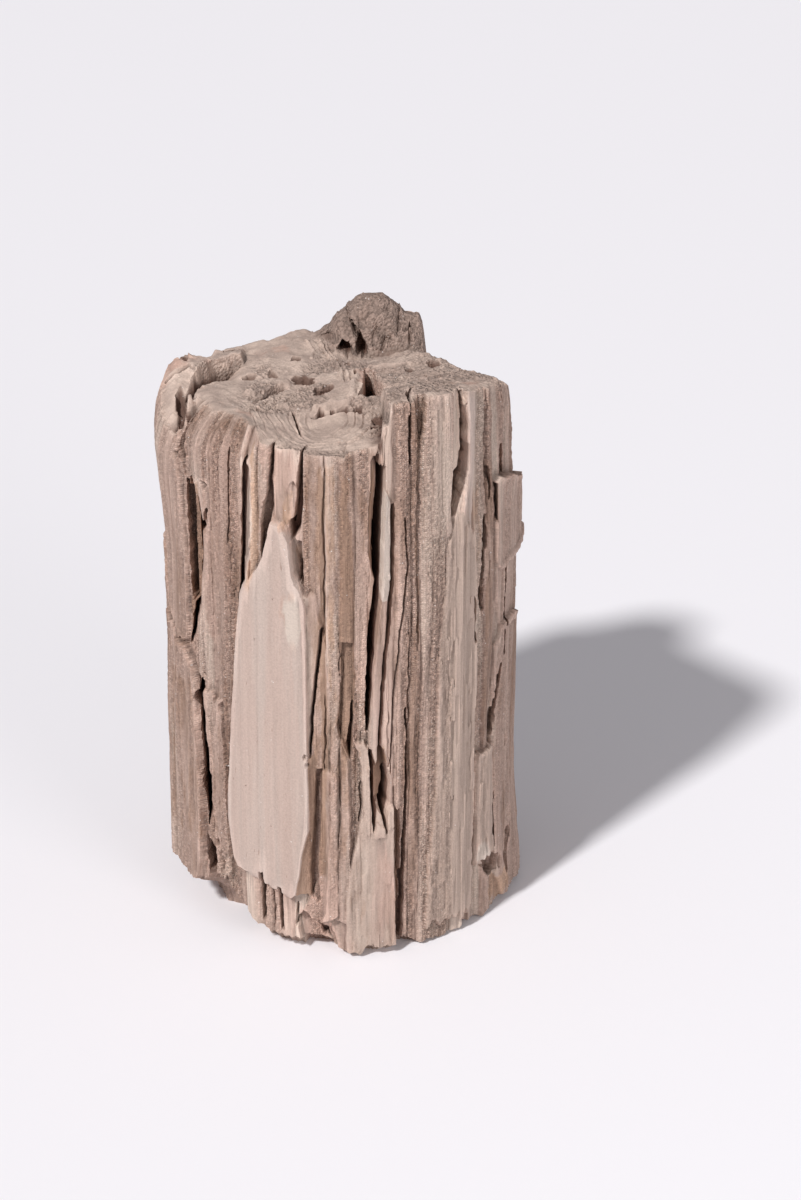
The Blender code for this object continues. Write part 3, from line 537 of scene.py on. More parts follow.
# Short flat splinters, each at its own depth, broken off at ragged ends.
def splinters(bearing, height):
    rng = draws(60)
    table = rng.uniform(-1.0, 1.0, (40, 240))
    starts = rng.uniform(0.0, 40.0, 240)
    swayed = bearing + 0.5 * ripple(bearing / 6.0, height / 50.0, 60, 61)
    strand = np.floor(swayed / 1.5).astype(int) % 240
    ragged = height + 5.0 * ripple(bearing / 0.4, height / 12.0, 900, 62)
    length = np.floor((ragged + starts[strand] * 3.0) / (26.0 + 22.0 * table[3, strand])).astype(int) % 40
    return logForm["splinterStep"] * table[length, strand]


# Lays a finish over the others on the columns that a strip covers.
def layFinish(masks, near, inside, finish):
    for name in finishNames:
        wanted = 1.0 if name == finish else 0.0
        masks[name][:, near] = masks[name][:, near] * (1.0 - inside) + wanted * inside


# How strongly the wood's cells stand out.
def beadStrength(bearing, height, rough):
    beads = np.zeros(bearing.shape)
    for low, high, share in beadBands:
        off = np.abs(wrap(bearing - 0.5 * (low + high))) - 0.5 * (high - low)
        beads = np.maximum(beads, share * (1.0 - ease(off, -1.0, 1.0)))
    worn = ease(ripple(bearing / 2.6, height / 130.0, 138, 71), -0.4, 0.2)
    return beads * (0.45 + 0.55 * worn) * rough


# How far the wall stands off the plain outline, how far it slides along it, and where
# each finish lies.
def wallForm(bearing, height):
    lift, bulge, place = columnRelief(bearing, height)
    slide = np.zeros(bearing.shape)
    tones = draws(40).uniform(-1.0, 1.0, 80)
    masks = {name: np.zeros(bearing.shape) for name in finishNames}
    masks["smooth"] = np.zeros(bearing.shape)
    masks["tone"] = tones[place] * ease(bulge, 0.1, 0.5)
    behind = ease(np.abs(wrap(bearing)), 85.0, 120.0)
    small, broad = logForm["swells"]
    lift = lift + small * ripple(bearing / 5.0, height / 70.0, 72, 4)
    lift = lift + (broad + broad * behind) * ripple(bearing / 24.0, height / 120.0, 15, 5)
    everyPlate = backPlates() + list(plates.values())
    for order, (left, right, kept, smooth, finish, jag, rows) in enumerate(everyPlate):
        near, inside, across = stripOn(bearing, height, rows, order, *logForm["plateEdges"], jag)
        face = left + (right - left) * across + kept * lift[:, near]
        lift[:, near] = lift[:, near] * (1.0 - inside) + face * inside
        masks["smooth"][:, near] = masks["smooth"][:, near] * (1.0 - inside) + smooth * inside
        masks["tone"][:, near] = masks["tone"][:, near] * (1.0 - 0.6 * inside)
        layFinish(masks, near, inside, finish)
    rough = 1.0 - masks["smooth"]
    lift = lift + fluting(bearing, height) * (0.12 + 0.88 * rough)
    lift = lift + splinters(bearing, height) * (0.08 + 0.7 * rough + 0.8 * masks["grey"])
    masks["beads"] = beadStrength(bearing, height, rough)
    pits = spotDistance(wrap(bearing) * 2.0, height * 0.8, 2.7, 70)
    lift = lift - logForm["pitDepth"] * (1.0 - ease(pits, 0.10, 0.42)) * masks["beads"]
    everyHollow = list(hollows.values()) + backHollows()
    for order, (left, right, lean, rows) in enumerate(everyHollow):
        near, inside, across = stripOn(bearing, height, rows, order + 32, *logForm["hollowEdges"])
        sunk = (left + (right - left) * across) * inside
        lift[:, near] = lift[:, near] - sunk
        centre = np.clip(0.5 * (rows[0][1] + rows[-1][2]), -62, 62)
        slide[:, near] = slide[:, near] + sunk * lean * math.tan(math.radians(centre))
        masks["smooth"][:, near] = masks["smooth"][:, near] * (1.0 - 0.8 * inside)
    for order, (depth, rows) in enumerate(hairCracks()):
        near, inside, across = stripOn(bearing, height, rows, order, *logForm["hairEdges"])
        lift[:, near] = lift[:, near] - depth * inside * rough[:, near]
    stray = 0.2 * ripple(bearing, height / 2.0, 360, 80)
    for pitBearing, pitHeight, halfWidth, halfHeight, depth in wallPits:
        gap = np.hypot(wrap(bearing - pitBearing) / halfWidth, (height - pitHeight) / halfHeight)
        lift = lift - depth * (1.0 - ease(gap + stray, 0.5, 1.0))
    for order, (finish, share, rows) in enumerate(streaks.values()):
        near, inside, across = stripOn(bearing, height, rows, order + 70, *logForm["streakEdges"])
        layFinish(masks, near, inside * share, finish)

    # the right side swells at its foot and the left lobe at its head; both sides are flat
    footward = 1.0 - ease(height, 0.0, 75.0)
    lift = lift + logForm["footSwell"] * footward * ease(bearing, 48.0, 80.0) * (bearing < 130.0)
    headward = ease(height, 250.0, 335.0)
    lift = lift + logForm["lobeSwell"] * headward * np.exp(-((bearing + 82.0) / 16.0) ** 2)
    for sideBearing, flatness in logForm["flatSides"]:
        lift = lift - flatness * np.exp(-(wrap(bearing - sideBearing) / 24.0) ** 2)
    return lift, slide, masks


def wallPoint(bearing, height):
    turn = np.radians(bearing)
    reach = np.where(np.abs(wrap(bearing)) < 90.0, logForm["frontReach"], logForm["backReach"])
    halfWidth = logForm["width"] * 0.5
    across = halfWidth * np.sin(turn)
    behind = -reach * np.cos(turn)
    outAcross = reach * np.sin(turn)
    outBehind = -halfWidth * np.cos(turn)
    size = np.hypot(outAcross, outBehind)
    lift, slide, masks = wallForm(bearing, height)
    outAcross, outBehind = outAcross / size, outBehind / size
    across = across + outAcross * lift - outBehind * slide
    behind = behind + outBehind * lift + outAcross * slide
    return across, behind, lift, masks


# The broken top, with x to the right of the pith and y behind it.
topLook = {
    "dishCentre": (-8.0, -60.0),
    "dishRings": 3.4,       # from one ring to the next
    "dishRingHeight": 0.5,
    "ledgeHeight": 2.2,
    "ledgeShare": 0.3,
    "lump": 0.4,
    "gritLump": 0.95,
    "pore": 0.9,
    "waves": (1.5, 0.8),
    "edgeFall": 1.0,
    "grooveDepth": (8.0, 4.0),      # of the groove beside the lobe, and how far it strays
    "triangleDepth": 30.0,
    "triangleReach": (-35.0, 13.0),
    "backLeftTop": 369.0,
    "backLeftFall": 0.3,
    "backLeftDip": 11.0,
    "lowStep": 3.6,
    "frontStep": 11.0,
    "peakFoot": 352.0,
    "peakBack": 79.0,
    "peakCurve": 1.9,
    "peakBackFall": 0.55,
    "peakLump": 2.6,
}

# The left lobe falls to the front and over its outer edge.
lobeForm = {"crest": 373.0, "frontFall": 0.50, "backFall": 0.45, "outerFall": 0.75, "innerFall": 0.2}

# Heights of the weathered top, left of the high block and on it: x, y, height.
lowTop = [
    (-97, -64, 350), (-88, -73, 362), (-78, -82, 369), (-66, -91, 372), (-56, -97, 372), (-50, -102, 367.5),
    (-43, -107, 365), (-33, -112, 364.5), (-22, -115, 364.5), (-10, -117, 364.5), (0, -118, 364.5),
    (12, -117, 365), (26, -114, 366), (-92, -46, 364), (-86, -55, 368), (-74, -66, 371), (-60, -78, 372),
    (-46, -88, 368.5), (-36, -94, 364.5), (-24, -98, 362.5), (-8, -98, 362), (4, -98, 363),
    (-14, -64, 360.5), (0, -66, 361), (-26, -76, 361.5), (-8, -82, 360.5), (12, -70, 362.5), (22, -84, 364),
    (-16, -44, 365.5), (0, -40, 366.5), (14, -40, 367), (-30, -52, 363.5), (-44, -62, 366.5),
    (-60, -58, 369.5), (-75, -48, 369), (-86, -26, 367.5), (-88, -6, 363), (-80, 8, 360), (-70, 20, 361),
    (-60, 30, 362), (-50, 42, 363), (-40, -8, 365), (-56, -20, 367), (-62, 2, 364.5), (-32, 20, 364.5),
    (-22, -20, 364.5), (-10, 0, 365.5), (0, 20, 367), (10, 0, 368.5), (12, -24, 369), (12, 32, 365),
    (-8, 40, 362.5), (-14, 68, 361.5), (-30, 60, 363), (-28, 92, 362), (-52, 74, 361), (-70, 62, 360),
    (-48, 92, 356), (-90, 40, 360), (-104, 10, 362), (4, 52, 357), (16, 54, 357), (0, 102, 350),
    (30, 100, 350)
]
highTop = [
    (31, -114, 395), (44, -108, 397), (58, -101, 398), (67, -98, 397.5), (80, -88, 394), (95, -72, 388.5),
    (106, -54, 381), (111, -32, 374), (113, 0, 355), (100, -28, 376.5), (86, -10, 374.5), (70, 5, 373),
    (60, 26, 371), (50, 12, 371.5), (45, -18, 373.5), (45, -42, 380), (64, -36, 382), (50, -70, 390),
    (36, -82, 391), (30, -60, 384), (76, -52, 387), (27, -47, 371.5), (62, 48, 358), (92, 36, 342),
    (75, 70, 334), (98, 5, 360), (82, 28, 355), (18, 14, 368), (20, -10, 368), (24, -34, 368.5),
    (34, -12, 370), (36, -34, 373.5), (47, 58, 360), (30, 56, 358), (17, 52, 357), (40, 98, 350)
]

# Where the pitted face at the back left stands, the cliff that parts the high block, and
# the small step over the front edge.
backLeftLine = [(-99, 7), (-92, 14), (-85, 22), (-78, 28), (-66, 35)]
blockEdge = [(-120, 33), (-106, 32), (-96, 29.5), (-60, 28), (-47, 25), (-35, 20), (0, 17)]
lowStepLine = [(3.7, -110), (7.6, -104.5), (13.8, -99), (17.5, -97.4), (23, -95.7), (28, -96)]

# The groove that parts the left lobe from the rest of the top, front to back.
lobeGroove = [(-106, -66), (-101, -50), (-101, -38), (-99, -26), (-96, -14), (-94, 0), (-89, 10), (-84, 18)]

# The crest of the peak at the back: x, and height.
peakCrest = [
    (-62, 350), (-28, 360), (-17, 365), (-9, 370), (-4, 378), (3, 384), (9, 389.5), (14, 391.5), (27, 391.5),
    (34, 386), (38.5, 383.5), (42, 379.5), (46, 379.5), (51, 379), (53.5, 374), (54.6, 364), (55.6, 350),
    (90, 330)
]

# Where the front of the peak stands on the top.
peakFootLine = [(-62, 70), (-28, 68), (-10, 62), (0, 54), (8, 52), (16, 54), (30, 58), (47, 60), (60, 66)]

# Caves and cracks in the front of the peak: x, height, half width, half height, lean to
# the right with height, depth.
peakCaves = [
    (1.6, 360, 5.6, 8, 0.1, 13), (13.2, 361, 4.2, 9, -0.25, 14), (9.6, 372, 2.4, 8, -0.55, 9),
    (4.4, 381, 1.1, 7, -0.5, 4), (-9, 366, 5, 2.6, 1.2, 3), (-6, 374, 4, 2, -0.8, 2.4),
    (37.6, 377, 0.9, 8, 0.1, 3), (30, 366, 3, 4, 0.3, 2.5), (22, 372, 2, 6, 0.2, 2), (45, 368, 1, 8, 0, 3)
]

# Pits in the top: x, y, half width, half length, turn, depth.
topPits = [
    (-24, -1, 7.6, 9, 42, 9), (-10.5, -22.5, 4.6, 8.6, -38, 7), (-14.5, -19, 3, 4, 0, 4),
    (-30, 36, 4, 6, 0, 4), (-3, 36, 2.4, 4, 0, 5), (4, 24, 2, 5, 0, 5), (9.5, 2, 1.5, 6, 0, 6),
    (52, -22, 4, 5, 0, 6), (60, 8, 5, 7, 0, 5), (-12, -51, 3, 3.6, 0, 6), (-4, -50, 2.2, 3, 0, 4),
    (2, -49, 3.4, 3, 0, 5), (11, -50, 3, 3.4, 0, 5), (24, -66, 3, 5, 20, 5), (22, -78, 2.4, 4, 0, 4),
    (-103.4, -20, 3.6, 12, 4, 7), (-103.6, -26, 2, 4, 0, 3), (-99.6, -48, 3.4, 9, 8, 9),
    (-104, 22, 4, 8, 0, 7), (-72, 56, 8, 6, 30, 8), (58, 52, 10, 6, -20, 6), (80, -10, 4, 5, 0, 4),
    (70, -60, 5, 6, 30, 3), (-60, 8, 5, 7, 0, 3), (-45, 8, 4, 6, 20, 3), (-52, -52, 2, 3, 0, 2),
    (64, -36, 2.4, 3, 0, 4), (45, 2, 3, 4, 30, 4), (92, -40, 4, 3, 0, 3), (-100, -40, 3, 5, 0, 7),
    (-98, -14, 3, 5, 0, 7), (-94, 2, 3, 4, 20, 7), (-101, -58, 2.5, 5, 0, 6), (-95, -26, 2.4, 4, 0, 5),
    (-90, -12, 2.4, 3, 0, 4), (-87, 2, 3, 3, 0, 5), (-93, -44, 2, 4, 0, 4)
]

# Veins that stand up and slits that cut in: half width, rise, then the path over the top.
topLines = {
    "vein, left": (1.3, 2.0, [(-14.6, 68), (-9, 50), (-4, 28), (0, 8), (1.6, -14)]),
    "vein, right": (1.2, 1.6, [(-11, 66), (-5, 48), (0, 26), (4, 6), (5.6, -12)]),
    "vein, far": (1.2, 1.2, [(-24, 70), (-19, 54), (-20, 40)]),
    "slanted gap": (2.6, -12.0, [(-56, -38), (-50, -33), (-43, -22), (-37, -13)]),
    "lip of the gap": (4.6, 3.2, [(-58, -29), (-50, -23), (-43, -12), (-37, -6)]),
    "slit": (0.9, -8.0, [(-29.8, -50), (-27.4, -64), (-23.6, -84)]),
    "light wall": (2.8, 2.0, [(11, 14), (9.4, -6), (7.6, -33)]),
    "ragged ledge": (2.2, -4.5, [(-16, -55), (-9, -52), (-1, -50), (7, -50), (16, -54)]),
    "ledge's brow": (3.0, 3.0, [(-16, -48), (-9, -45), (-1, -43), (7, -43), (17, -46)]),
    "brow below the fan": (2.6, 1.2, [(8, -41), (18, -44), (27, -54)]),
    "lobe crack": (1.2, -5.0, [(-114, 2), (-106, 4), (-99, 10)]),
    "back crack": (1.3, -5.0, [(30, 44), (44, 40), (62, 30)]),
    "fan's edge": (1.6, 1.8, [(18, 16), (34, 15), (50, 11)]),
    "rim crack": (1.0, -6.0, [(45, -108), (43, -92), (47, -78)]),
}


def lineMark(x, y, path, halfWidth, rise):
    gap = polylineDistance(x, y, path) + 0.3 * halfWidth * ground(x, y, 2.4, (50.0, 9.0), 200, 98)
    return rise * (1.0 - ease(gap, 0.25 * halfWidth, 1.15 * halfWidth))


# The smooth sheet that passes nearly through a set of measured heights.
def sheet(x, y, posts):
    across, behind, heights = np.array(posts, float).T
    gaps = np.hypot(across[:, None] - across[None, :], behind[:, None] - behind[None, :])
    count = len(heights)
    system = np.zeros((count + 3, count + 3))
    system[:count, :count] = gaps ** 2 * np.log(gaps + 1e-9) + 12.0 * np.eye(count)
    flat = np.stack([np.ones(count), across, behind])
    system[count:, :count] = flat
    system[:count, count:] = flat.T
    shares = np.linalg.solve(system, np.append(heights, [0.0, 0.0, 0.0]))
    height = shares[count] + shares[count + 1] * x + shares[count + 2] * y
    for post in range(count):
        square = (x - across[post]) ** 2 + (y - behind[post]) ** 2
        height = height + shares[post] * square * 0.5 * np.log(square + 1e-9)
    return height


# Two blocks at the left: the pitted one at the back, with the dip before it, and the lobe.
def backLeftBlock(x, y, height):
    pastLine = y - follow(x, backLeftLine) + 0.9 * ripple(x / 2.6 + 60.0, y / 30.0, 90, 87)
    block = ease(pastLine, -0.8, 1.8) * ease(-x, 64.0, 67.0)
    level = topLook["backLeftTop"] - topLook["backLeftFall"] * np.maximum(pastLine - 5.0, 0.0)
    height = height + (level - height) * block
    dip = (1.0 - ease(-pastLine, 3.0, 26.0)) * (1.0 - block) * ease(-x, 64.0, 82.0)
    return height - topLook["backLeftDip"] * dip, block, pastLine


def leftLobe(x, y, height):
    lobe = lobeForm["crest"] - lobeForm["frontFall"] * np.maximum(12.0 - y, 0.0)
    lobe = lobe - lobeForm["backFall"] * np.maximum(y - 26.0, 0.0)
    lobe = lobe - lobeForm["outerFall"] * np.maximum(-x - 108.0, 0.0)
    lobe = lobe - lobeForm["innerFall"] * np.maximum(x + 105.0, 0.0)
    inner = follow(y, [(behind, across) for across, behind in lobeGroove])
    onLobe = ease(inner - x, 0.0, 4.0) * ease(y, -70.0, -60.0)
    return height + (lobe - height) * onLobe, onLobe


# The broken peak, lumpy up its front as well as across, and how much of a point is on it.
def addPeak(x, y, height):
    across, levels = np.array(peakCrest, float).T
    crest = np.interp(x, across, levels, left=0.0, right=0.0)
    footLine = follow(x, peakFootLine) + 1.6 * ripple(x / 6.0, y / 30.0, 60, 6)
    foot = topLook["peakFoot"]

    def climbTo(behind):
        share = np.clip((behind - footLine) / (topLook["peakBack"] - footLine), 0.0, 1.0)
        return 1.0 - (1.0 - share) ** topLook["peakCurve"]
    rise = climbTo(y)
    level = rise * (crest - foot)
    lumpy = ripple(x / 6.5 + 11.0, level / 7.0, 90, 84) + 0.6 * ripple(x / 3.0 + 41.0, level / 3.2, 150, 85)
    rise = climbTo(y + topLook["peakLump"] * lumpy * ease(rise, 0.02, 0.2))
    peak = foot + (crest - foot) * rise - topLook["peakBackFall"] * np.maximum(y - 84.0, 0.0)
    onPeak = (crest > foot) * ease(peak, height, height + 4.0)
    return np.where(crest > foot, np.maximum(height, peak), height), onPeak


# Rougher ground: the porous hollow, the peak, round the pits and in seeded patches.
def roughGround(x, y, part, onPeak, pastLine, groove):
    dish = np.exp(-((x + 8.0) / 34.0) ** 2 - ((y + 68.0) / 26.0) ** 2) * (1.0 - part)
    porous = ease(x, 17.0, 21.0) * (1.0 - ease(x, 42.0, 50.0))
    porous = porous * ease(y, -38.0, -34.0) * (1.0 - ease(y, 10.0, 16.0))
    rough = 0.25 + 0.75 * ease(ground(x, y, 17.0, (70.0, 8.0), 60, 94), -0.2, 0.4)
    rough = np.maximum(np.maximum(rough, porous), onPeak)
    rough = np.maximum(rough, 0.8 * ease(x, 30.0, 50.0) * ease(y, -70.0, -40.0))
    rough = rough * (1.0 - 0.85 * ease(dish, 0.3, 0.7))
    smoothSide = np.maximum(ease(-x, 8.0, 20.0) * ease(y, 20.0, 40.0), ease(-x, 50.0, 70.0))
    rough = rough * (1.0 - 0.75 * smoothSide)
    rough = rough * (1.0 - 0.85 * np.exp(-((x + 46.0) / 27.0) ** 2 - ((y + 86.0) / 22.0) ** 2))
    face = np.exp(-((pastLine + 0.5) / 2.6) ** 2) * ease(-x, 64.0, 67.0) * (1.0 - ease(-x, 97.0, 101.0))
    return np.maximum(rough, np.maximum(face, 0.9 * ease(groove, 0.1, 0.5)))


# Small ledges, the rings of the dish, lumps and pores, all fading out at the wall.
def topGrain(x, y, height, rough, inner, onPeak, part, under):
    ledge = height / topLook["ledgeHeight"] + 0.8 * ground(x, y, 11.0, (9.0, 9.0), 60, 90)
    shelf = ledge - np.floor(ledge)
    ledgeRise = topLook["ledgeHeight"] * topLook["ledgeShare"] * (ease(shelf, 0.4, 0.6) - shelf)
    height = height + ledgeRise * inner * rough
    dishX, dishY = topLook["dishCentre"]
    reach = np.hypot((x - dishX) / 0.85, y - dishY) + 2.6 * ground(x, y, 15.0, (5.0, 5.0), 50, 91)
    rings = np.sin(reach * 2.0 * math.pi / topLook["dishRings"]) * (0.6 + 0.4 * np.sin(reach * 0.9))
    ringed = ease(reach, 10.0, 18.0) * (1.0 - ease(reach, 56.0, 66.0)) * (1.0 - part) * (1.0 - under)
    ringed = ringed * (1.0 - ease(y, -48.0, -36.0) * ease(x, -24.0, -10.0))
    height = height + topLook["dishRingHeight"] * rings * ringed * inner
    lumps = ground(x, y, 3.6, (40.0, 40.0), 200, 92) + 0.7 * ground(x, y, 1.8, (90.0, 80.0), 300, 93)
    lumpHeight = topLook["lump"] + (topLook["gritLump"] - topLook["lump"]) * rough
    height = height + lumpHeight * lumps * (0.3 + 0.7 * inner) * (1.0 - 0.7 * onPeak)
    pores = spotDistance(x + 300.0, y + 300.0, 4.4, 95)
    return height - topLook["pore"] * (1.0 - ease(pores, 0.10, 0.32)) * rough * inner


# The veins and slits, the three-sided hole, steep on every side, and the pits, with
# the painted shade that lies in them.
def cutTop(x, y, height, recessShade):
    for halfWidth, rise, path in topLines.values():
        mark = lineMark(x, y, path, halfWidth, rise)
        height = height + mark
        # slits that cut in take painted shade
        recessShade = np.maximum(recessShade, -1.1 * mark)
    near, far = topLook["triangleReach"]
    leftSide = np.interp(y, [near, -20.0, far], [11.6, 14.4, 15.4])
    rightSide = np.interp(y, [near, far], [30.4, 19.6])
    hole = np.minimum(np.minimum(x - leftSide, rightSide - x), np.minimum(y - near, far - y))
    hole = hole + 0.5 * ground(x, y, 2.0, (9.0, 9.0), 200, 99)
    height = height - topLook["triangleDepth"] * ease(hole, -0.3, 1.3)
    stray = 0.26 * ground(x, y, 3.0, (0.0, 20.0), 260, 97)
    for across, behind, halfWidth, halfLength, turn, depth in topPits:
        swing = math.radians(turn)
        u = (x - across) * math.cos(swing) + (y - behind) * math.sin(swing)
        v = (y - behind) * math.cos(swing) - (x - across) * math.sin(swing)
        gap = np.hypot(u / halfWidth, v / halfLength) + stray
        height = height - depth * (1.0 - ease(gap, 0.60, 0.95))
        # the pits take painted shade, reaching a little past their rim
        recessShade = np.maximum(recessShade, (4.0 + depth) * (1.0 - ease(gap, 0.85, 1.20)))
    return height, recessShade


# Height of the broken top, and how far each point is on the peak, rough and in painted shade.
def topForm(x, y):
    height = sheet(x, y, lowTop)
    under = ease(follow(x, lowStepLine) - y, 0.0, 1.6) * ease(x, 3.6, 5.2)
    height = height + topLook["lowStep"] * under
    height = height + topLook["frontStep"] * ease(x, 26.4, 28.0) * (1.0 - ease(y, -96.0, -92.0))
    height, block, pastLine = backLeftBlock(x, y, height)
    height, onLobe = leftLobe(x, y, height)
    edge = follow(y, blockEdge)
    soft = np.interp(y, [-50.0, -30.0], [1.1, 8.0])
    part = ease(x, edge - soft, edge + soft)
    height = height + (sheet(x, y, highTop) - height) * part
    fromGroove = polylineDistance(x, y, lobeGroove) + 1.4 * ground(x, y, 4.0, (30.0, 30.0), 120, 89)
    groove = 1.0 - ease(fromGroove, 0.4, 4.2)
    depth, stray = topLook["grooveDepth"]
    height = height - (depth + stray * ground(x, y, 12.0, (5.0, 5.0), 60, 88)) * groove
    height, onPeak = addPeak(x, y, height)
    reach = np.where(y < 0.0, logForm["frontReach"], logForm["backReach"])
    fromWall = (1.0 - np.hypot(x / (0.5 * logForm["width"]), y / reach)) * logForm["frontReach"]
    height = height - topLook["edgeFall"] * (1.0 - np.clip(fromWall / 10.0, 0.0, 1.0)) ** 2
    calm = 1.0 - 0.75 * np.maximum(block, onLobe)
    broad, small = topLook["waves"]
    height = height + broad * ground(x, y, 16.0, (20.0, 20.0), 40, 7) * calm
    height = height + small * ground(x, y, 6.0, (60.0, 30.0), 120, 8) * calm
    rough = roughGround(x, y, part, onPeak, pastLine, groove)
    height = topGrain(x, y, height, rough, ease(fromWall, 1.0, 5.0), onPeak, part, under)
    # the groove beside the lobe starts the painted shade, as deep as it is cut
    height, recessShade = cutTop(x, y, height, depth * groove)
    return height, onPeak, rough, recessShade


# How far the peak's front is pushed back into its caves and cracks.
def cavePush(x, height, onPeak):
    push = np.zeros(x.shape)
    stray = 0.22 * ripple(x / 2.4 + 7.0, height / 2.4, 200, 83)
    for across, level, halfWidth, halfHeight, lean, depth in peakCaves:
        away = (x - across - lean * (height - level)) / halfWidth
        gap = np.hypot(away, (height - level) / halfHeight) + stray
        push = np.maximum(push, depth * (1.0 - ease(gap, 0.55, 1.0)))
    return push * ease(onPeak, 0.3, 0.9)


# The chipped lower rim, the top edge before and after its teeth are evened on the two
# sides, and the share by which the wall draws in below it.
def rimHeights(bearing):
    lowRim = np.maximum(follow(bearing, lowerRim) + 1.6 * ripple(bearing / 3.0, bearing * 0.0, 120, 9), 1.2)
    lowRim = np.maximum(lowRim + 0.8 * ripple(bearing / 0.8, bearing * 0.0, 450, 11), 0.6)
    line = bearing[None, :]
    rimX, rimY = [places[0] for places in wallPoint(line, np.full(line.shape, logForm["rimHeight"]))[:2]]
    inset = follow(bearing % 360.0 - 360.0 * (bearing % 360.0 > 230.0), topInset)
    insetShare = inset / np.hypot(rimX, rimY)
    trueRim = topForm(rimX * (1.0 - insetShare), rimY * (1.0 - insetShare))[0]
    evenRim = blurred(trueRim[None, :], 0, len(bearing) // 75)[0]
    aside = ease(np.abs(bearing), 56.0, 66.0) * (1.0 - ease(np.abs(bearing), 130.0, 142.0))
    return lowRim, trueRim, trueRim + (evenRim - trueRim) * aside, insetShare


# What the material reads at each point: how far it stands above or below the ground
# around it, in millimetres, and where each finish and kind of grain lies.
def surfaceFields(lift, masks, topZ, topShare, onPeak, grainy, paintedShade):
    under, wall, top = logForm["underRings"], lift.shape[0], topZ.shape[0]
    foot = np.zeros((under, lift.shape[1]))
    ridge = np.vstack([foot, lift - blurred(lift, 3, 5), 0.8 * (topZ - blurred(topZ, 3, 4))])
    # painted highlight along the top edge of the wall
    ridge[under + wall - 3:under + wall + 2] += 0.8
    onTop = np.vstack([foot, np.zeros(lift.shape), np.ones(topZ.shape)])
    onTop[under + wall - 6:under + wall] = (np.arange(6) / 6.0)[:, None]
    fields = {
        "ridge": ridge,
        # sunk also carries the painted shade of the top's groove, slits, pits and caves
        "sunk": np.vstack([foot, blurred(lift, 6, 26) - lift, blurred(topZ, 14, 36) - topZ + paintedShade]),
        "top": onTop,
        "grit": np.vstack([foot, masks["beads"] * 0.4, grainy]),
        "peak": np.vstack([foot, np.zeros(lift.shape), onPeak]),
    }
    for name in finishNames + ["smooth", "tone", "beads"]:
        pad = np.repeat(masks[name][:1], under, axis=0)
        cap = np.repeat(masks[name][-1:], top, axis=0) * ease(topShare, 0.97, 1.0)
        fields[name] = np.vstack([pad, masks[name], cap])
    return fields


# Rings of points from the edge of the foot, up the wall, to the middle of the top.
def logSurface():
    count = logForm["columns"]
    bearing = np.arange(count) * 360.0 / count - 180.0
    lowRim, trueRim, highRim, insetShare = rimHeights(bearing)
    wallLow, wallHigh, wallTop = logForm["wallLevels"]
    level = np.linspace(0.0, wallTop, logForm["wallRows"])[:, None]
    shareLow = np.clip(level / wallLow, 0.0, 1.0)
    shareHigh = np.clip((level - wallHigh) / (wallTop - wallHigh), 0.0, 1.0)
    height = lowRim + (wallLow - lowRim) * shareLow
    height = height + np.clip(level - wallLow, 0.0, wallHigh - wallLow)
    height = height + (highRim - wallHigh) * shareHigh
    wallX, wallY, lift, masks = wallPoint(np.broadcast_to(bearing[None, :], height.shape), height)
    drawn = np.clip((height - highRim + logForm["rimDrawn"]) / logForm["rimDrawn"], 0.0, 1.0)
    drawn = 1.0 - insetShare * drawn ** 2
    wallX, wallY = wallX * drawn, wallY * drawn
    report("wall laid out")

    footInset = logForm["footInset"] + 0.85 * lowRim
    underShare = (np.arange(logForm["underRings"]) / logForm["underRings"])[:, None]
    shrink = 1.0 - footInset * (1.0 - underShare) / np.hypot(wallX[0], wallY[0])
    underX, underY = wallX[0] * shrink, wallY[0] * shrink
    underZ = lowRim * underShare ** 0.35

    # the rings of the top lose the wall's grooves a little way in
    topShare = 1.0 - ((np.arange(1, logForm["topRings"]) / logForm["topRings"]) ** 1.25)[:, None]
    evenly = ease(1.0 - topShare, 0.0, 0.16)
    plainX, plainY = [blurred(ring[None, :], 0, count // 24)[0] for ring in (wallX[-1], wallY[-1])]
    topX = (wallX[-1] * (1.0 - evenly) + plainX * evenly) * topShare
    topY = (wallY[-1] * (1.0 - evenly) + plainY * evenly) * topShare
    topZ, onPeak, grainy, recessShade = topForm(topX, topY)
    topZ = topZ + (highRim - trueRim) * (1.0 - ease(1.0 - topShare, 0.0, 0.12))
    seam = np.clip(1.0 - np.arange(topZ.shape[0]) / 3.0, 0.0, 1.0)[:, None] * 0.6
    topZ = topZ * (1.0 - seam) + highRim * seam
    push = cavePush(topX, topZ, onPeak)
    report("top laid out")

    x = np.vstack([underX, wallX, topX])
    y = np.vstack([underY, wallY, topY + push])
    z = np.vstack([underZ, height, topZ])
    # the peak's caves and the top's groove, slits and pits get painted shade through sunk
    fields = surfaceFields(lift, masks, topZ, topShare, onPeak, grainy, 0.9 * push + recessShade)
    return np.stack([x, y, z], axis=-1) * mm, fields


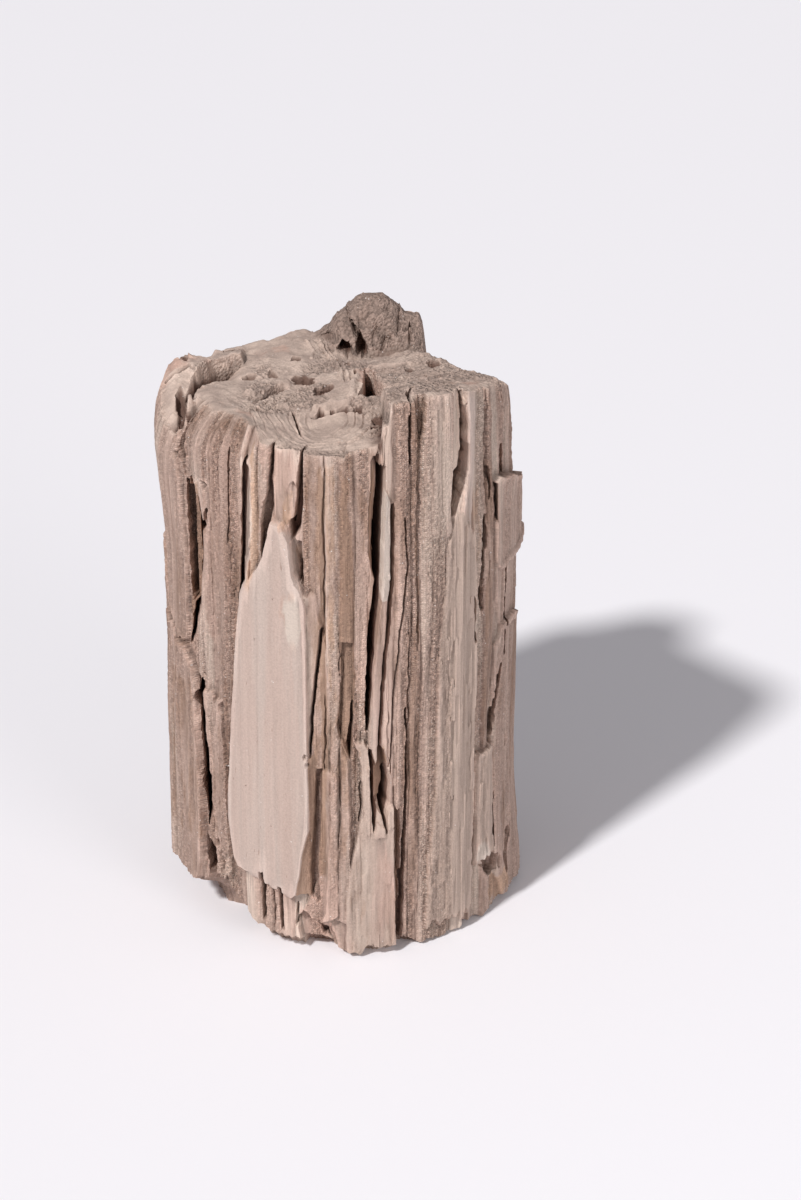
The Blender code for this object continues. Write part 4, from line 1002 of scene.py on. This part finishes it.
# A closed skin over rings of points, with a fan over each end.
def skinOver(name, points, fields):
    ringCount, columnCount = points.shape[:2]
    foot = [0.0, 0.0, 0.0]
    crown = points[-1].mean(axis=0).tolist()
    places = np.vstack([points.reshape(-1, 3), [foot, crown]])
    ring = np.arange(ringCount - 1)[:, None] * columnCount
    here = np.arange(columnCount)[None, :]
    after = (here + 1) % columnCount
    above = ring + columnCount
    quads = np.stack([ring + here, ring + after, above + after, above + here], axis=-1).reshape(-1)
    footIndex = ringCount * columnCount
    last = (ringCount - 1) * columnCount
    here, after = here[0], after[0]
    footFan = np.stack([np.full(columnCount, footIndex), after, here], axis=-1).reshape(-1)
    crownFan = np.stack([np.full(columnCount, footIndex + 1), last + here, last + after], axis=-1).reshape(-1)
    corners = np.concatenate([quads, footFan, crownFan]).astype(np.int32)
    sizes = np.concatenate([np.full(len(quads) // 4, 4), np.full(2 * columnCount, 3)]).astype(np.int32)
    starts = np.concatenate([[0], np.cumsum(sizes)[:-1]]).astype(np.int32)
    mesh = bpy.data.meshes.new(name)
    mesh.vertices.add(len(places))
    mesh.vertices.foreach_set("co", places.astype(np.float32).ravel())
    mesh.loops.add(len(corners))
    mesh.loops.foreach_set("vertex_index", corners)
    mesh.polygons.add(len(sizes))
    mesh.polygons.foreach_set("loop_start", starts)
    mesh.update(calc_edges=True)
    for field, values in fields.items():
        layer = mesh.attributes.new(field, "FLOAT", "POINT")
        spread = np.append(values.ravel(), [0.0, values[-1].mean()])
        layer.data.foreach_set("value", spread.astype(np.float32))
    return mesh


# The piece's own mesh, made plain from what its modifiers show.
def plainMesh(piece, name):
    depsgraph = bpy.context.evaluated_depsgraph_get()
    seen = piece.evaluated_get(depsgraph)
    mesh = bpy.data.meshes.new_from_object(seen, preserve_all_data_layers=True, depsgraph=depsgraph)
    mesh.name = name
    return mesh


def makeLog():
    points, fields = logSurface()
    mesh = skinOver("log_skin", points, fields)
    report(f"full skin, {len(mesh.polygons)} faces")
    piece = bpy.data.objects.new("log_surface", mesh)
    bpy.context.scene.collection.objects.link(piece)
    thin = piece.modifiers.new("thin", "DECIMATE")
    triangles = 2 * len(mesh.polygons)
    thin.ratio = min(logForm["facesKept"] / triangles, 1.0)
    kept = plainMesh(piece, "log_surface")
    piece.modifiers.remove(thin)
    piece.data = kept
    bpy.data.meshes.remove(mesh)
    places = np.empty(len(kept.vertices) * 3, np.float32)
    kept.vertices.foreach_get("co", places)
    places = places.reshape(-1, 3)
    low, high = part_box("petrified_log")
    middle = 0.5 * (places[:, :2].min(0) + places[:, :2].max(0))
    shift = 0.5 * (np.array(low[:2]) + np.array(high[:2])) - middle
    places[:, :2] += shift
    places[np.abs(places[:, 2]) < logForm["footSnap"] * mm, 2] = 0.0
    kept.vertices.foreach_set("co", places.ravel())
    kept.update()
    kept.shade_smooth()
    kept.set_sharp_from_angle(angle=math.radians(logForm["sharpAngle"]))
    report(f"log thinned to {len(kept.polygons)} faces, shifted {shift / mm} mm")
    return piece


# Colours as they look in soft daylight, 0 to 255.
stoneColours = {
    "taupeDark": (150, 124, 109),
    "taupe": (188, 162, 149),
    "taupeLight": (204, 184, 170),
    "cream": (190, 173, 163),
    "creamPink": (190, 168, 157),
    "grey": (182, 161, 148),
    "ochre": (194, 161, 138),
    "white": (204, 189, 177),
    "brown": (154, 125, 106),
    "pink": (194, 164, 150),
    "pitBrown": (122, 92, 76),
    # the colour of the painted shade deep in cracks, pits and caves
    "crack": (92, 62, 50),
    "topGrey": (180, 159, 147),
    "topLight": (204, 182, 168),
    "topPink": (184, 146, 130),
    "peakGrey": (136, 116, 106),
    "sparkle": (236, 230, 226),
}
stoneLook = {
    "blotches": 34.0,       # scales are in features to the metre
    "strands": 330.0,
    "threads": 858.0,
    "grit": 800.0,
    "raggedEdge": 160.0,
    "veins": 90.0,
    "topBlotches": 46.0,
    "topPinks": 24.0,
    "flecks": 620.0,
    "fleckPatches": 60.0,
    "grains": 640.0,
    "granules": 504.0,
    "crystals": 560.0,
    "crystalPatches": 260.0,
    "strandStretch": 0.035,     # a pattern's scale along the log over its scale across it
    "longStretch": 0.05,
    "streakStretch": 0.2,
    "reach": 0.117,         # from the pith to the wall
    "files": 640.0,         # files of cells to the metre round the wall
    "beads": 720.0,         # cells to the metre of height
    "beadStray": 0.55,
    "fileSway": 26.0,
    "fileSwayShare": 0.012,
    "gapShare": 0.62,       # how far the gaps between the cells take the pits' brown
    "columnTone": 0.13,     # how far whole columns stray in brightness
    "beadTone": 0.6,        # and single cells, and the grains of the top
    "grainTone": 0.55,
    "finishShare": 0.88,
    "topShare": 0.92,
    "peakShare": 0.85,
    # brightness factors for the painted shade in the hollows and the painted light on the ridges
    "ridgeShadeAndLight": (0.74, 1.16),
    # how far below the surface around the painted crack shade starts and is full, and at most how much of it
    "shadeDepths": (2.8, 12.0),      # in millimetres below the surface around
    "shadeShare": 0.82,
    "fleckShare": 0.5,
    "crystalShare": 0.8,
    "bumpStrength": 0.85,
    "bumpDepth": 0.0017,
    "roughness": 0.84,
    "shine": 0.3,
}
nodeGrid = {"rows": 12, "across": 240.0, "down": 260.0}


def colour(name):
    shown = [value / 255.0 for value in stoneColours[name]]
    return [((value + 0.055) / 1.055) ** 2.4 if value > 0.04 else value / 12.92 for value in shown] + [1.0]


def addNode(tree, kind, **settings):
    node = tree.nodes.new(kind)
    step, row = divmod(len(tree.nodes), nodeGrid["rows"])
    node.location = (step * nodeGrid["across"], -row * nodeGrid["down"])
    for name, value in settings.items():
        setattr(node, name, value)
    return node


def attributeValue(tree, name):
    return addNode(tree, "ShaderNodeAttribute", attribute_name=name).outputs["Fac"]


def stretchedPlace(tree, along):
    where = addNode(tree, "ShaderNodeTexCoord")
    scale = addNode(tree, "ShaderNodeMapping")
    scale.inputs["Scale"].default_value = (1.0, 1.0, along)
    tree.links.new(where.outputs["Object"], scale.inputs["Vector"])
    return scale.outputs["Vector"]


def noiseValue(tree, vector, scale, detail=4.0, roughness=0.55):
    node = addNode(tree, "ShaderNodeTexNoise")
    node.inputs["Scale"].default_value = scale
    node.inputs["Detail"].default_value = detail
    node.inputs["Roughness"].default_value = roughness
    tree.links.new(vector, node.inputs["Vector"])
    return node.outputs["Fac"]


def cellNode(tree, vector, scale, **settings):
    node = addNode(tree, "ShaderNodeTexVoronoi", **settings)
    node.inputs["Scale"].default_value = scale
    tree.links.new(vector, node.inputs["Vector"])
    return node


def setOrLink(tree, value, socket):
    if isinstance(value, (int, float)):
        socket.default_value = value
    else:
        tree.links.new(value, socket)


def mathValue(tree, operation, first, second):
    node = addNode(tree, "ShaderNodeMath", operation=operation)
    setOrLink(tree, first, node.inputs[0])
    setOrLink(tree, second, node.inputs[1])
    return node.outputs[0]


def times(tree, first, second):
    return mathValue(tree, "MULTIPLY", first, second)


def plus(tree, first, second):
    return mathValue(tree, "ADD", first, second)


def minus(tree, first, second):
    return mathValue(tree, "SUBTRACT", first, second)


def rangeValue(tree, value, low, high, toLow=0.0, toHigh=1.0):
    node = addNode(tree, "ShaderNodeMapRange", interpolation_type="SMOOTHSTEP")
    setOrLink(tree, value, node.inputs["Value"])
    node.inputs["From Min"].default_value = low
    node.inputs["From Max"].default_value = high
    node.inputs["To Min"].default_value = toLow
    node.inputs["To Max"].default_value = toHigh
    return node.outputs["Result"]


def mixColour(tree, share, first, second, blend="MIX"):
    node = addNode(tree, "ShaderNodeMix", data_type="RGBA", blend_type=blend)
    setOrLink(tree, share, node.inputs[0])
    for value, socket in ((first, node.inputs[6]), (second, node.inputs[7])):
        if isinstance(value, str):
            socket.default_value = colour(value)
        else:
            tree.links.new(value, socket)
    return node.outputs[2]


# Blotches of taupe on the worn columns, then the finishes, each with a ragged edge.
def wallColour(tree, streaky, longStreaks, tone):
    blotches = noiseValue(tree, streaky, stoneLook["blotches"], detail=6.0, roughness=0.6)
    shade = plus(tree, blotches, times(tree, tone, stoneLook["columnTone"]))
    base = mixColour(tree, rangeValue(tree, shade, 0.28, 0.48), "taupeDark", "taupe")
    base = mixColour(tree, rangeValue(tree, shade, 0.50, 0.70), base, "taupeLight")
    ragged = minus(tree, noiseValue(tree, streaky, stoneLook["raggedEdge"], detail=5.0), 0.5)
    ragged = times(tree, ragged, 1.1)
    veins = noiseValue(tree, longStreaks, stoneLook["veins"], detail=5.0, roughness=0.6)
    creamTone = mixColour(tree, rangeValue(tree, veins, 0.38, 0.62), "creamPink", "cream")
    for name in finishNames:
        share = plus(tree, attributeValue(tree, name), ragged)
        share = rangeValue(tree, share, 0.35, 0.75, toHigh=stoneLook["finishShare"])
        base = mixColour(tree, share, base, creamTone if name == "cream" else name)
    return base


# The broken top is greyer and granular, the peak darker still.
def topColour(tree, plain, grit, peak):
    blotches = noiseValue(tree, plain, stoneLook["topBlotches"], detail=6.0, roughness=0.62)
    shown = mixColour(tree, rangeValue(tree, blotches, 0.40, 0.60), "topGrey", "topLight")
    pinks = noiseValue(tree, plain, stoneLook["topPinks"], detail=4.0)
    shown = mixColour(tree, rangeValue(tree, pinks, 0.60, 0.70, toHigh=0.7), shown, "topPink")
    shown = mixColour(tree, rangeValue(tree, grit, 0.3, 1.0, toHigh=0.45), shown, "peakGrey")
    return mixColour(tree, times(tree, peak, stoneLook["peakShare"]), shown, "peakGrey")


# The worn cells: small beads in upright files round the wall, on polar places.
def beadCells(tree, upright, longStreaks):
    where = addNode(tree, "ShaderNodeTexCoord")
    parts = addNode(tree, "ShaderNodeSeparateXYZ")
    tree.links.new(where.outputs["Object"], parts.inputs[0])
    turn = mathValue(tree, "ARCTAN2", parts.outputs["X"], times(tree, parts.outputs["Y"], -1.0))
    sway = noiseValue(tree, longStreaks, stoneLook["fileSway"], detail=2.0)
    arc = plus(tree, times(tree, turn, stoneLook["reach"]), times(tree, sway, stoneLook["fileSwayShare"]))
    beadPlace = addNode(tree, "ShaderNodeCombineXYZ")
    tree.links.new(times(tree, arc, stoneLook["files"]), beadPlace.inputs["X"])
    tree.links.new(times(tree, parts.outputs["Z"], stoneLook["beads"]), beadPlace.inputs["Y"])
    cells = cellNode(tree, beadPlace.outputs["Vector"], 1.0, voronoi_dimensions="2D")
    cells.inputs["Randomness"].default_value = stoneLook["beadStray"]
    bead = rangeValue(tree, cells.outputs["Distance"], 0.12, 0.50, toLow=1.0, toHigh=0.0)
    edges = noiseValue(tree, upright, stoneLook["strands"], detail=1.0)
    fileEdge = mathValue(tree, "MAXIMUM", rangeValue(tree, edges, 0.40, 0.52), 0.4)
    return cells, times(tree, bead, fileEdge)


# Strands, threads, specks and single grains lighten and darken the stone, with painted light on the ridges
# and painted shade in the hollows.
def brightness(tree, strands, threads, speckle, quiet, ridge, grained):
    strandTone = rangeValue(tree, strands, 0.3, 0.7, toLow=0.90, toHigh=1.08)
    threadTone = rangeValue(tree, threads, 0.3, 0.7, toLow=0.93, toHigh=1.05)
    wallMix = addNode(tree, "ShaderNodeMix")
    tree.links.new(quiet, wallMix.inputs[0])
    tree.links.new(times(tree, strandTone, threadTone), wallMix.inputs[2])
    wallMix.inputs[3].default_value = 1.0
    tone = times(tree, wallMix.outputs[0], rangeValue(tree, speckle, 0.3, 0.7, toLow=0.92, toHigh=1.07))
    # painted light on the ridges and painted shade in the hollows
    dark, light = stoneLook["ridgeShadeAndLight"]
    tone = times(tree, tone, rangeValue(tree, ridge, -1.1, 1.1, toLow=dark, toHigh=light))
    for cells, amount, spread in grained:
        single = addNode(tree, "ShaderNodeSeparateColor")
        tree.links.new(cells.outputs["Color"], single.inputs["Color"])
        own = times(tree, minus(tree, single.outputs["Red"], 0.5), times(tree, amount, spread))
        tone = times(tree, tone, plus(tree, own, 1.0))
    grey = addNode(tree, "ShaderNodeCombineColor")
    for channel in ("Red", "Green", "Blue"):
        tree.links.new(tone, grey.inputs[channel])
    return grey.outputs["Color"]


def petrifiedStone():
    material = bpy.data.materials.new("petrified_wood")
    material.use_nodes = True
    tree = material.node_tree
    surface = tree.nodes["Principled BSDF"]
    plain = stretchedPlace(tree, 1.0)
    upright = stretchedPlace(tree, stoneLook["strandStretch"])
    streaky = stretchedPlace(tree, stoneLook["streakStretch"])
    longStreaks = stretchedPlace(tree, stoneLook["longStretch"])
    names = ("tone", "ridge", "sunk", "top", "smooth", "beads", "grit", "peak")
    tone, ridge, sunk, top, smooth, beads, grit, peak = [attributeValue(tree, name) for name in names]
    strands = noiseValue(tree, upright, stoneLook["strands"], detail=4.0, roughness=0.6)
    threads = noiseValue(tree, upright, stoneLook["threads"], detail=2.0)
    speckle = noiseValue(tree, plain, stoneLook["grit"], detail=3.0, roughness=0.7)

    base = wallColour(tree, streaky, longStreaks, tone)
    base = mixColour(tree, times(tree, top, stoneLook["topShare"]), base, topColour(tree, plain, grit, peak))
    cells, bead = beadCells(tree, upright, longStreaks)
    wornGap = times(tree, minus(tree, 1.0, bead), beads)
    base = mixColour(tree, times(tree, wornGap, stoneLook["gapShare"]), base, "pitBrown")
    quiet = mathValue(tree, "MAXIMUM", top, times(tree, smooth, 0.65))
    grains = cellNode(tree, plain, stoneLook["grains"])
    grained = ((cells, beads, stoneLook["beadTone"]), (grains, grit, stoneLook["grainTone"]))
    light = brightness(tree, strands, threads, speckle, quiet, ridge, grained)
    base = mixColour(tree, 1.0, base, light, blend="MULTIPLY")

    # small brown flecks on the smooth slabs
    flecks = rangeValue(tree, noiseValue(tree, streaky, stoneLook["flecks"], detail=1.0), 0.70, 0.76)
    patches = rangeValue(tree, noiseValue(tree, plain, stoneLook["fleckPatches"], detail=2.0), 0.48, 0.62)
    flecks = times(tree, times(tree, flecks, patches), smooth)
    base = mixColour(tree, times(tree, flecks, stoneLook["fleckShare"]), base, "pitBrown")

    # painted shade deep in the cracks, pits and caves, darker the further they sink below the surface around
    deep = rangeValue(tree, sunk, *stoneLook["shadeDepths"], toHigh=stoneLook["shadeShare"])
    base = mixColour(tree, deep, base, "crack")

    # small pale crystals
    spots = cellNode(tree, plain, stoneLook["crystals"])
    crystal = rangeValue(tree, spots.outputs["Distance"], 0.14, 0.28, toLow=1.0, toHigh=0.0)
    chosen = noiseValue(tree, plain, stoneLook["crystalPatches"], detail=2.0)
    chosen = rangeValue(tree, plus(tree, chosen, times(tree, grit, 0.06)), 0.66, 0.72)
    crystal = times(tree, crystal, chosen)
    base = mixColour(tree, times(tree, crystal, stoneLook["crystalShare"]), base, "sparkle")
    tree.links.new(base, surface.inputs["Base Color"])

    # grain that is too fine for the mesh
    height = times(tree, strands, rangeValue(tree, quiet, 0.0, 1.0, toLow=1.0, toHigh=0.18))
    height = plus(tree, height, times(tree, speckle, 0.30))
    height = times(tree, height, minus(tree, 1.0, times(tree, beads, 0.45)))
    height = minus(tree, height, times(tree, wornGap, 0.44))
    granules = cellNode(tree, plain, stoneLook["granules"])
    granules = times(tree, granules.outputs["Distance"], grit)
    height = minus(tree, height, times(tree, granules, 0.9))
    bump = addNode(tree, "ShaderNodeBump")
    bump.inputs["Strength"].default_value = stoneLook["bumpStrength"]
    bump.inputs["Distance"].default_value = stoneLook["bumpDepth"]
    tree.links.new(height, bump.inputs["Height"])
    tree.links.new(bump.outputs["Normal"], surface.inputs["Normal"])
    surface.inputs["Roughness"].default_value = stoneLook["roughness"]
    surface.inputs["Specular IOR Level"].default_value = stoneLook["shine"]
    return material


log = makeLog()
log.data.materials.clear()
log.data.materials.append(petrifiedStone())
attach(log, "root")
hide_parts("petrified_log")
report("stone ready")

stage = {
    "floorSize": 30.0,
    "floorTone": (0.87, 0.85, 0.875, 1.0),
    "airTone": (0.96, 0.95, 1.0, 1.0),
    "airStrength": 0.31,
    "keyTurn": -37.0,
    "keyRise": 46.0,
    "keyStrength": 2.9,
    "keySpread": 5.0,
    "fillPlace": (1.6, -2.2, 1.2),
    "fillPower": 20.0,
    "fillSize": 1.4,
    "aim": (0.0, 0.0, 0.2),
    "lens": 114.42,
    "cameraPlace": (0.0393, -2.2828, 1.333),
    "cameraPitch": 63.8,
}


def paleFloor():
    half = stage["floorSize"] * 0.5
    corners = [(-half, -half, 0), (half, -half, 0), (half, half, 0), (-half, half, 0)]
    mesh = bpy.data.meshes.new("floor")
    mesh.from_pydata(corners, [], [(0, 1, 2, 3)])
    floor = bpy.data.objects.new("floor", mesh)
    bpy.context.scene.collection.objects.link(floor)
    material = bpy.data.materials.new("pale_floor")
    material.use_nodes = True
    surface = material.node_tree.nodes["Principled BSDF"]
    surface.inputs["Base Color"].default_value = stage["floorTone"]
    surface.inputs["Roughness"].default_value = 0.9
    surface.inputs["Specular IOR Level"].default_value = 0.1
    mesh.materials.append(material)


def softLight(name, place, power, size):
    light = bpy.data.lights.new(name, "AREA")
    light.energy = power
    light.shape = "DISK"
    light.size = size
    lamp = bpy.data.objects.new(name, light)
    lamp.location = place
    lamp.rotation_euler = (Vector(place) - Vector(stage["aim"])).to_track_quat("Z", "Y").to_euler()
    bpy.context.scene.collection.objects.link(lamp)


# A small far lamp from the front left, a little above the camera.
def keyLight():
    light = bpy.data.lights.new("key", "SUN")
    light.energy = stage["keyStrength"]
    light.angle = math.radians(stage["keySpread"])
    lamp = bpy.data.objects.new("key", light)
    turn, rise = math.radians(stage["keyTurn"]), math.radians(stage["keyRise"])
    toLamp = Vector((math.sin(turn) * math.cos(rise), -math.cos(turn) * math.cos(rise), math.sin(rise)))
    lamp.rotation_euler = toLamp.to_track_quat("Z", "Y").to_euler()
    lamp.location = toLamp * 3.0
    bpy.context.scene.collection.objects.link(lamp)


paleFloor()
keyLight()
softLight("fill", stage["fillPlace"], stage["fillPower"], stage["fillSize"])
world = bpy.data.worlds.new("studio")
bpy.context.scene.world = world
world.use_nodes = True
air = world.node_tree.nodes["Background"]
air.inputs["Color"].default_value = stage["airTone"]
air.inputs["Strength"].default_value = stage["airStrength"]

eye = bpy.data.cameras.new("camera")
eye.lens = stage["lens"]
camera = bpy.data.objects.new("camera", eye)
camera.location = stage["cameraPlace"]
camera.rotation_euler = (math.radians(stage["cameraPitch"]), 0.0, 0.0)
bpy.context.scene.collection.objects.link(camera)
bpy.context.scene.camera = camera
bpy.context.scene.view_settings.view_transform = "Standard"

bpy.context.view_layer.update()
report("all pieces placed")
